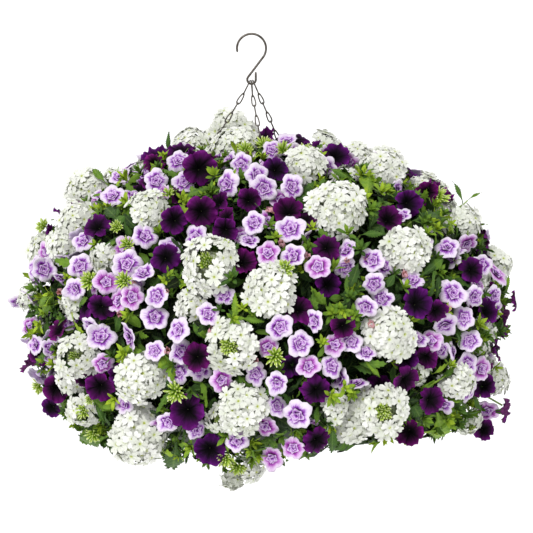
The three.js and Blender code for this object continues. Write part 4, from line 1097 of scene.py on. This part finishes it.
def make_pot():
    rim_z, rim, neck, foot = POT["rim_z"], POT["rim"], POT["neck"], POT["foot"]
    wall, lip, floor_z = POT["wall"], POT["lip"], POT["rim_z"] - POT["height"]
    profile = [(0, floor_z + 4), (foot - 30, floor_z + 4), (foot - 12.2, floor_z + 3.9),
               (foot - 11.2, floor_z + 0.5), (foot - 10, floor_z), (foot - 1, floor_z),
               (foot, floor_z + 1)]
    height = rim_z - lip - floor_z
    for s in np.arange(1, 24) / 24:
        ridge = 0.5 * math.sin(s * TURN * 3) ** 4
        profile.append((foot + (neck - foot) * s - ridge, floor_z + height * s))
    profile += [(neck, rim_z - lip), (rim - 0.8, rim_z - lip), (rim, rim_z - lip + 0.8),
                (rim, rim_z - 0.8), (rim - 0.8, rim_z), (neck - wall + 1, rim_z),
                (neck - wall, rim_z - 1), (foot - wall, floor_z + POT_FLOOR),
                (0, floor_z + POT_FLOOR)]
    heap = Heap()
    heap.put(with_area(*turned(profile, 96)))
    heap.piece("pot_shell", pot_look(), "pot_plastic", ["pot"])


def make_soil():
    wall, neck, foot = POT["wall"], POT["neck"], POT["foot"]
    floor_z = POT["rim_z"] - POT["height"]

    def inner(z):
        up = (z - floor_z - POT_FLOOR) / (POT["height"] - POT_FLOOR)
        return foot - wall + (neck - foot) * up - 0.8

    reach = inner(SOIL_Z)
    profile = [(0, floor_z + 7), (inner(floor_z + 8), floor_z + 7), (reach, SOIL_Z - 2)]
    for s in np.arange(1, 40) / 40:
        profile.append((reach * (1 - s), SOIL_Z - 1 + SOIL_CROWN * min(1, s * 1.8)))
    profile.append((0, SOIL_Z - 1 + SOIL_CROWN))
    points, faces, numbers = turned(profile, 90)
    r = np.random.default_rng(5)
    waves, phases = r.uniform(-1, 1, (14, 2)) * 0.5, r.uniform(0, TURN, 14)
    lift = 0.45 * np.sin(points[:, :2] @ waves.T + phases).sum(1)
    top = (points[:, 2] > SOIL_Z - 5) & (np.hypot(points[:, 0], points[:, 1]) < reach - 3)
    points[:, 2] += np.where(top, lift, 0)
    heap = Heap()
    heap.put(with_area(points, faces, numbers))
    angle, level = r.uniform(0, TURN, CRUMBS), CRUMB_REACH * np.sqrt(r.uniform(0, 1, CRUMBS))
    places = spun(level, angle, SOIL_Z - 0.5 + SOIL_CROWN * np.where(level < 60, 1, 0.5))
    crumb = tube([(0, 0, -0.6), (0, 0, 0), (0, 0, 0.6)], [0.5, 0.9, 0.4], 5, caps=True)
    heap.strew(crumb, places, axes_of(r.normal(size=(CRUMBS, 3)), r.uniform(0, TURN, CRUMBS)),
               r.uniform(1.0, 3.2, CRUMBS), r.uniform(0, 1, CRUMBS))
    heap.piece("soil_crumbs", soil_look(), "potting_soil", ["soil"], smooth=False)


# ---- Flowers ----
def nodes_of(prefix):
    return sorted(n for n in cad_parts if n.startswith(prefix))


def head_florets(count, young):
    """Where the florets of a head of radius 1 sit, and which way each looks."""
    share, angle = spiral(count, 0.4)
    if young:
        share = 0.3 + 0.7 * share
    bend = share * HEAD_BEND + rng.uniform(-0.06, 0.06, count)
    angle = angle + rng.uniform(-0.2, 0.2, count)
    lumps = (1 + 0.09 * np.sin(2 * angle + rng.uniform(0, TURN))
             + 0.07 * np.sin(3 * angle + rng.uniform(0, TURN)))
    level = HEAD_LEVEL * lumps * np.sin(bend) * rng.uniform(0.9, 1.12, count)
    height = HEAD_RISE * np.cos(bend) - HEAD_SINK + rng.uniform(-0.08, 0.08, count)
    lean = bend * HEAD_LEAN
    tilt = spun(np.sin(lean), angle, np.cos(lean)) + rng.uniform(-0.26, 0.26, (count, 3))
    return spun(level, angle, height), tilt


def verbenas(look):
    florets = [verbena_floret(40 + k) for k in range(8)]
    front, back, small = Heap(), Heap(), Heap()
    spike, core, calyx = bud_spike(), dome(0.8, 0.22, -0.42), sepals(10, 0.4, -0.6, -0.12, 0.3)
    for one in (bloom for bloom in BLOOMS if bloom["kind"] == "verbena"):
        mark, r, middle = one["mark"], one["radius"], one["point"]
        heap = front if mark else small if "filler" in one else back
        young = mark in YOUNG_HEADS or (mark is None and rng.random() < YOUNG_SHARE)
        state = "sparse" if mark in SPARSE_HEADS else "young" if young else "open"
        share_open, core_radius = HEAD_STATES[state]
        petal = np.clip(FLORET + 0.07 * (r - 25), *FLORET_RANGE)
        count = max(10, int(FLORETS_PER_AREA * (r / petal) ** 2 * share_open))
        axes = axes_of(one["face"], np.array([rng.uniform(0, TURN)]))[0]
        spots, tilt = head_florets(count, young)
        places = middle + (spots @ axes) * r
        turns = axes_of(tilt @ axes, rng.uniform(0, TURN, count))
        kinds = rng.integers(0, len(florets), count)
        sizes = petal * rng.uniform(0.9, 1.12, count)
        for k, floret in enumerate(florets):
            own = kinds == k
            heap.strew(floret, places[own], turns[own], sizes[own],
                       rng.uniform(0, 1, int(own.sum())))
        heap.strew(core, [middle], axes[None], [r * core_radius], [0.5])
        LEAVES.strew(calyx, [middle], axes[None], [r], [0.45])
        if young:
            reach, turn = spiral(int(16 + r / 2))
            flat = spun(YOUNG_BUDS_REACH * reach, turn, 0.1)
            heap.strew(spike, middle + (flat @ axes) * r,
                       axes_of((flat * [2, 2, 0] + [0, 0, 1]) @ axes, turn),
                       r * rng.uniform(0.28, 0.42, len(turn)), rng.uniform(0, 1, len(turn)))
    front.piece("verbena_florets_front", look, "verbena_petals", nodes_of("verbena_heads_"))
    back.piece("verbena_florets_back", look, "verbena_petals")
    small.piece("verbena_florets_small", look, "verbena_petals")


def fillers(blooms):
    """Smaller flowers that fill the gaps between the laid-out ones, tucked behind their rims."""
    spots = np.array([one["point"] + (one["along"] / 2 if one["kind"] == "leaf" else 0)
                      for one in blooms])
    sizes = np.array([one["radius"] for one in blooms])
    more = []
    for point, normal in zip(*surface_points(unit(rng.normal(size=(FILLER_TRIES, 3))))):
        kind, span = FILLER_KINDS[rng.choice(3, p=FILLER_MIX)]
        behind = normal[1] > 0.1
        radius = rng.uniform(*span) * (1.2 if behind else 1)
        place = point - normal * rng.uniform(*FILLER_DEPTH)
        space = (FILLER_SPACE_BEHIND if behind else FILLER_SPACE) * (sizes + radius)
        if ((np.linalg.norm(spots - place, axis=1) < space).any() or normal[2] < UNDERSIDE
                or near_chain(place)):
            continue
        sight = unit(EYE - point)
        face = normal * 0.6 + sight * 0.3 * (normal @ sight > 0) + rng.normal(size=3) * 0.3
        more.append({"kind": kind, "point": place, "face": unit(face), "radius": radius,
                     "mark": None, "filler": True})
        spots, sizes = np.vstack([spots, place]), np.append(sizes, radius)
    print("fillers", len(more))
    return more


def near_chain(point):
    top = np.array([0, 0, CHAIN_TOP])
    for _, azimuth, _ in CHAINS:
        line = spun(RIM_HOLE_AT, azimuth * DEGREE, POT["rim_z"]) - top
        share = np.clip((point - top) @ line / (line @ line), 0, 1)
        if np.linalg.norm(top + share * line - point) < CHAIN_CLEARANCE:
            return True
    return False


def turned_more(one):
    """How a bloom is turned on: outermost petunias to the side, others towards the eye."""
    mark = one["mark"]
    if mark is None:
        behind_crest = one["face"][1] > 0.1 and one["point"][2] > BEHIND_CREST
        return np.array([0, -0.75, 0.5]) if behind_crest else np.zeros(3)
    if mark in OUTER_PETUNIAS:
        return RIGHT * (1.5 if mark[0] > PICTURE_MIDDLE else -1.2) + [0, 0.75, 0.25]
    return -FORWARD * (0.9 if mark[1] < CREST_BLOOMS else 0.15)


def blooms_of(kind, shapes, plainer, name, look, calyx, stray):
    """All petunias or calibrachoas: the part's blooms finely cut, the fillers plainer."""
    own = [one for one in BLOOMS if one["kind"] == kind]
    small = np.array(["filler" in one for one in own])
    places = np.array([one["point"] for one in own])
    faces = unit(np.array([one["face"] + turned_more(one) for one in own])
                 + rng.normal(size=(len(own), 3)) * stray)
    sizes = np.array([one["radius"] for one in own]) * BLOOM_SPREAD[kind]
    kinds = rng.integers(0, len(shapes), len(own))
    tones = rng.uniform(0, 1, len(own))
    axes = axes_of(faces, rng.uniform(0, TURN, len(own)))
    for ending, kept, cut in (("", ~small, shapes), ("_small", small, plainer)):
        heap = Heap()
        for k, shape in enumerate(cut):
            mine = kept & (kinds == k)
            heap.strew(shape, places[mine], axes[mine], sizes[mine], tones[mine])
        heap.piece(name + ending, look, kind + "_petals",
                   () if ending else nodes_of(kind + "_blooms_"))
    LEAVES.strew(calyx, places, axes, sizes, rng.uniform(0.4, 0.7, len(own)))


def bud_clusters():
    spike = bud_spike()
    for x, y, r in BUD_MARKS:
        point, sight, scale = marked(x, y)
        normal, size = unit(mound_normal(point) + unit(EYE - point) * 0.7), r * scale
        at, turn = spiral(CLUSTER_BUDS)
        turn = turn + rng.uniform(-0.3, 0.3, CLUSTER_BUDS)
        axes = axes_of(normal, np.array([0.0]))[0]
        lean = spun(at * 1.1, turn, 1 - 0.4 * at)
        BUDS.strew(spike, point - sight * 4 + (lean * [1, 1, 0] @ axes) * size * 0.25,
                   axes_of(lean @ axes, turn), size * rng.uniform(0.8, 1.15, CLUSTER_BUDS),
                   rng.uniform(0, 1, CLUSTER_BUDS))


def free(points, margin=0.0):
    """Whether foliage may lie at these points, clear of every flower's face."""
    flowers = [one for one in BLOOMS if one["kind"] != "leaf"]
    spots = np.array([one["point"] for one in flowers])
    looks = np.array([one["face"] for one in flowers])
    sizes = np.array([one["radius"] * (FILLER_HOLD if "filler" in one else 1)
                      for one in flowers])
    ok = outside_pot(points) & inside_box(points) & inside_edges(points)
    for start in range(0, len(points), 1000):
        d = points[start:start + 1000, None] - spots[None]
        height = np.einsum("nfk,fk->nf", d, looks)
        level = np.sqrt(np.maximum((d**2).sum(2) - height**2, 0))
        taken = ((height > FREE_FROM * sizes) & (height < FREE_TO)
                 & (level < sizes * FREE_REACH + margin))
        ok[start:start + 1000] &= ~taken.any(1)
    return ok


def foliage():
    """Leaves in depth under the flowers."""
    kinds = [[leaf_shape(13, VERBENA_LEAF, 0.34, 0.1, 0.3, k) for k in range(4)],
             [leaf_shape(6, SLIM_LEAF, 0, 0.14, 0.25, k) for k in range(4)],
             [leaf_shape(7, OVATE_LEAF, 0, 0.08, 0.35, k) for k in range(4)],
             [leaf_shape(4, OVATE_LEAF, 0, 0.08, 0.35, k) for k in range(2)]]
    for (shallow, deep), n, tone, mix in FOLIAGE_LAYERS:
        points, normals = surface_points(unit(rng.normal(size=(n, 3))))
        centre = lifted(points - normals * rng.uniform(shallow, deep, n)[:, None])
        side = unit(np.cross(normals, rng.normal(size=(n, 3))))
        up = rng.uniform(0.05, 0.9, n)[:, None]
        along = unit(side * (1 - up * 0.4) + normals * up + np.array([0, 0, 0.15]))
        face = normals * 0.8 + rng.normal(size=(n, 3)) * 0.35
        face = unit(face - along * (face * along).sum(1)[:, None])
        which = rng.choice(len(kinds), n, p=mix)
        shortest, longest = LEAF_LENGTHS[which].T
        length = shortest + (longest - shortest) * rng.uniform(0, 1, n)
        half = along * length[:, None] * 0.5
        ok = free(centre) & free(centre + half) & free(centre - half)
        # Painted shade: each layer's tone, darker for deeper leaves, with a random spread about it.
        tones = np.clip(tone + rng.normal(size=n) * 0.16, 0, 1)
        axes = np.stack([along, np.cross(face, along), face], 1)
        for k, shapes in enumerate(kinds):
            for j, shape in enumerate(shapes):
                mine = ok & (which == k) & (np.arange(n) % len(shapes) == j)
                FOLIAGE.strew(shape, (centre - half)[mine], axes[mine], length[mine],
                              tones[mine])


def tufts():
    """Bright young shoots, each a tuft of slim leaves, between the flowers."""
    blades = [leaf_shape(5, SLIM_LEAF, 0, 0.14, 0.25, k) for k in range(4)]
    points, normals = surface_points(unit(rng.normal(size=(TUFTS, 3))))
    centre = lifted(points - normals * rng.uniform(0, 18, TUFTS)[:, None])
    axis = unit(normals + rng.normal(size=(TUFTS, 3)) * 0.45 + [0, 0, 0.25])
    reach = rng.uniform(11, 18, TUFTS)
    ok = free(centre, 1) & free(centre + axis * reach[:, None] * 0.8, 1)
    for number in np.flatnonzero(ok):
        count = rng.integers(6, 11)
        u, v, w = axes_of(axis[number], np.array([rng.uniform(0, TURN)]))[0]
        turn = spiral(count)[1][:, None]
        lean = np.linspace(0.25, 1.15, count)[:, None]
        out = np.cos(turn) * u + np.sin(turn) * v
        along = unit(out * np.sin(lean) + w * np.cos(lean))
        face = unit(w * np.sin(lean) - out * np.cos(lean))
        tone = rng.uniform(0.6, 1.14) - 0.2 * lean[:, 0] + rng.uniform(-0.05, 0.05, count)
        SHOOTS.strew(blades[number % len(blades)], np.tile(centre[number], (count, 1)),
                     np.stack([along, np.cross(face, along), face], 1),
                     reach[number] * rng.uniform(0.7, 1.05, count), np.clip(tone, 0, 1))


def lifted(points):
    """The same points, none of them under the level of the lowest leaves."""
    points[:, 2] = np.maximum(points[:, 2], LOWEST_LEAF + rng.uniform(0, 14, len(points)))
    return points


def outside_pot(points):
    level = np.hypot(points[:, 0], points[:, 1])
    return ((level > POT["rim"] + 5) | (points[:, 2] > POT["rim_z"] + 6)
            | (points[:, 2] < POT["rim_z"] - POT["height"] - 3))


def inside_box(points):
    low, high = np.array(CAD_BOX) / MM
    return ((points > low - BOX_MARGIN) & (points < high + BOX_MARGIN)).all(1)


def inside_edges(points):
    """Whether the foliage may reach these points, seen from the camera."""
    away = points - EYE
    scale = EYE_DISTANCE / (away @ FORWARD) / PIXEL
    across_picture = PICTURE_MIDDLE + away @ RIGHT * scale
    down_picture = PICTURE_MIDDLE - away @ UPWARD * scale
    return ((down_picture > np.interp(across_picture, *UPPER_EDGE))
            & (down_picture < np.interp(across_picture, *LOWER_EDGE)))


def own_leaves():
    """The leaves that the part holds, finely cut."""
    slender = [(along, half * SLENDER) for along, half in VERBENA_LEAF]
    shapes = [leaf_shape(23, slender, 0.32, 0.1, 0.28, 20 + k, 5) for k in range(4)]
    for k, one in enumerate(one for one in BLOOMS if one["kind"] == "leaf"):
        a = unit(one["along"])
        b = unit(np.cross(one["face"], a))
        LEAVES.strew(shapes[k % 4], [one["point"]], np.stack([a, b, np.cross(a, b)])[None],
                     [np.linalg.norm(one["along"])], [rng.uniform(0.36, 0.78)])


def stems():
    """A stem from each bloom into the mound, over the pot's rim and down to its plant's crown."""
    rim, rim_z = POT["rim"], POT["rim_z"]
    kinds = ("verbena", "petunia", "calibrachoa")
    plants = [(kinds[i % 3], spun(CROWN_RING, (i + 0.5) / CROWNS * TURN, SOIL_Z + SOIL_CROWN - 3))
              for i in range(CROWNS)]
    for one in BLOOMS:
        kind, point = one["kind"], one["point"]
        neck = point - one["face"] * NECK.get(kind, 0.05) * one["radius"]
        inner = point - mound_normal(point) * rng.uniform(*STEM_DEPTH) + [0, 0, 6.0]
        inner = inner + unit(neck - inner) * 4
        home = min((place for plant, place in plants if kind in ("leaf", plant)),
                   key=lambda place: math.hypot(*(place - inner)[:2]))
        crown = home + [*rng.uniform(-7, 7, 2), 0]
        level = math.hypot(inner[0], inner[1])
        stops = [neck, inner]
        if level > rim - 6:
            out = inner[:2] / level
            if inner[2] < rim_z + 16:
                stops[1] = np.append(out * max(level, rim + 16), inner[2])
                stops.append(np.append(out * (rim + 10), rim_z + 4))
            stops.append(np.append(out * (rim - 12), rim_z + rng.uniform(12, 30)))
        path = curve(stops + [crown + [0, 0, 26.0], crown], STEM_STATIONS)
        for i in range(1, len(path)):
            while mound_level(path[i]) > STEM_INSIDE:
                path[i] = MIDDLE + (path[i] - MIDDLE) * 0.97
        radii = STEM_THICKNESS[kind] * np.linspace(0.75, 1.3, STEM_STATIONS)
        STEMS.put(tube(path, radii, 5), rng.uniform(0.2, 0.7))


def spent_blooms():
    for number, (x, y) in enumerate(SPENT_MARKS):
        spot, sight, _ = marked(x, y)
        way = unit(mound_normal(spot) + unit(EYE - spot) + rng.normal(size=3) * 0.6)
        SPENT.strew(spent_shape(number), [spot + sight * 6 - way * 9],
                    axes_of(way, np.array([0.0])), [rng.uniform(12, 15)], [rng.uniform(0, 1)])


BLOOMS = find_blooms()
BLOOMS += fillers(BLOOMS)
BUDS, LEAVES, FOLIAGE, SHOOTS, STEMS, SPENT = (Heap() for _ in range(6))
VERBENA, LEAF = verbena_look(), leaf_look()
make_hook()
for chain in CHAINS:
    make_chain(*chain)
make_pot()
make_soil()
verbenas(VERBENA)
blooms_of("petunia", [petunia_shape(k, 60, 9) for k in range(8)],
          [petunia_shape(k, 40, 6) for k in range(8)], "petunia_trumpets", petunia_look(),
          sepals(5, 0.13, -0.86, -0.4, 0.16), 0.26)
blooms_of("calibrachoa", [calibrachoa_shape(60 + k, 45, 5) for k in range(10)],
          [calibrachoa_shape(60 + k, 30, 4) for k in range(10)], "calibrachoa_doubles",
          calibrachoa_look(), sepals(5, 0.12, -0.66, -0.24, 0.2), 0.34)
bud_clusters()
BUDS.piece("verbena_buds", VERBENA, "leaf_green")
own_leaves()
LEAVES.piece("leaves_near", LEAF, "leaf_green", nodes_of("leafy_stem_"))
foliage()
tufts()
FOLIAGE.piece("leaves_deep", LEAF, "leaf_green")
SHOOTS.piece("leaf_shoots", LEAF, "leaf_green")
stems()
STEMS.piece("stems_green", stem_look(), "leaf_green")
spent_blooms()
SPENT.piece("spent_blooms", spent_look(), "petunia_petals")

bpy.context.view_layer.update()
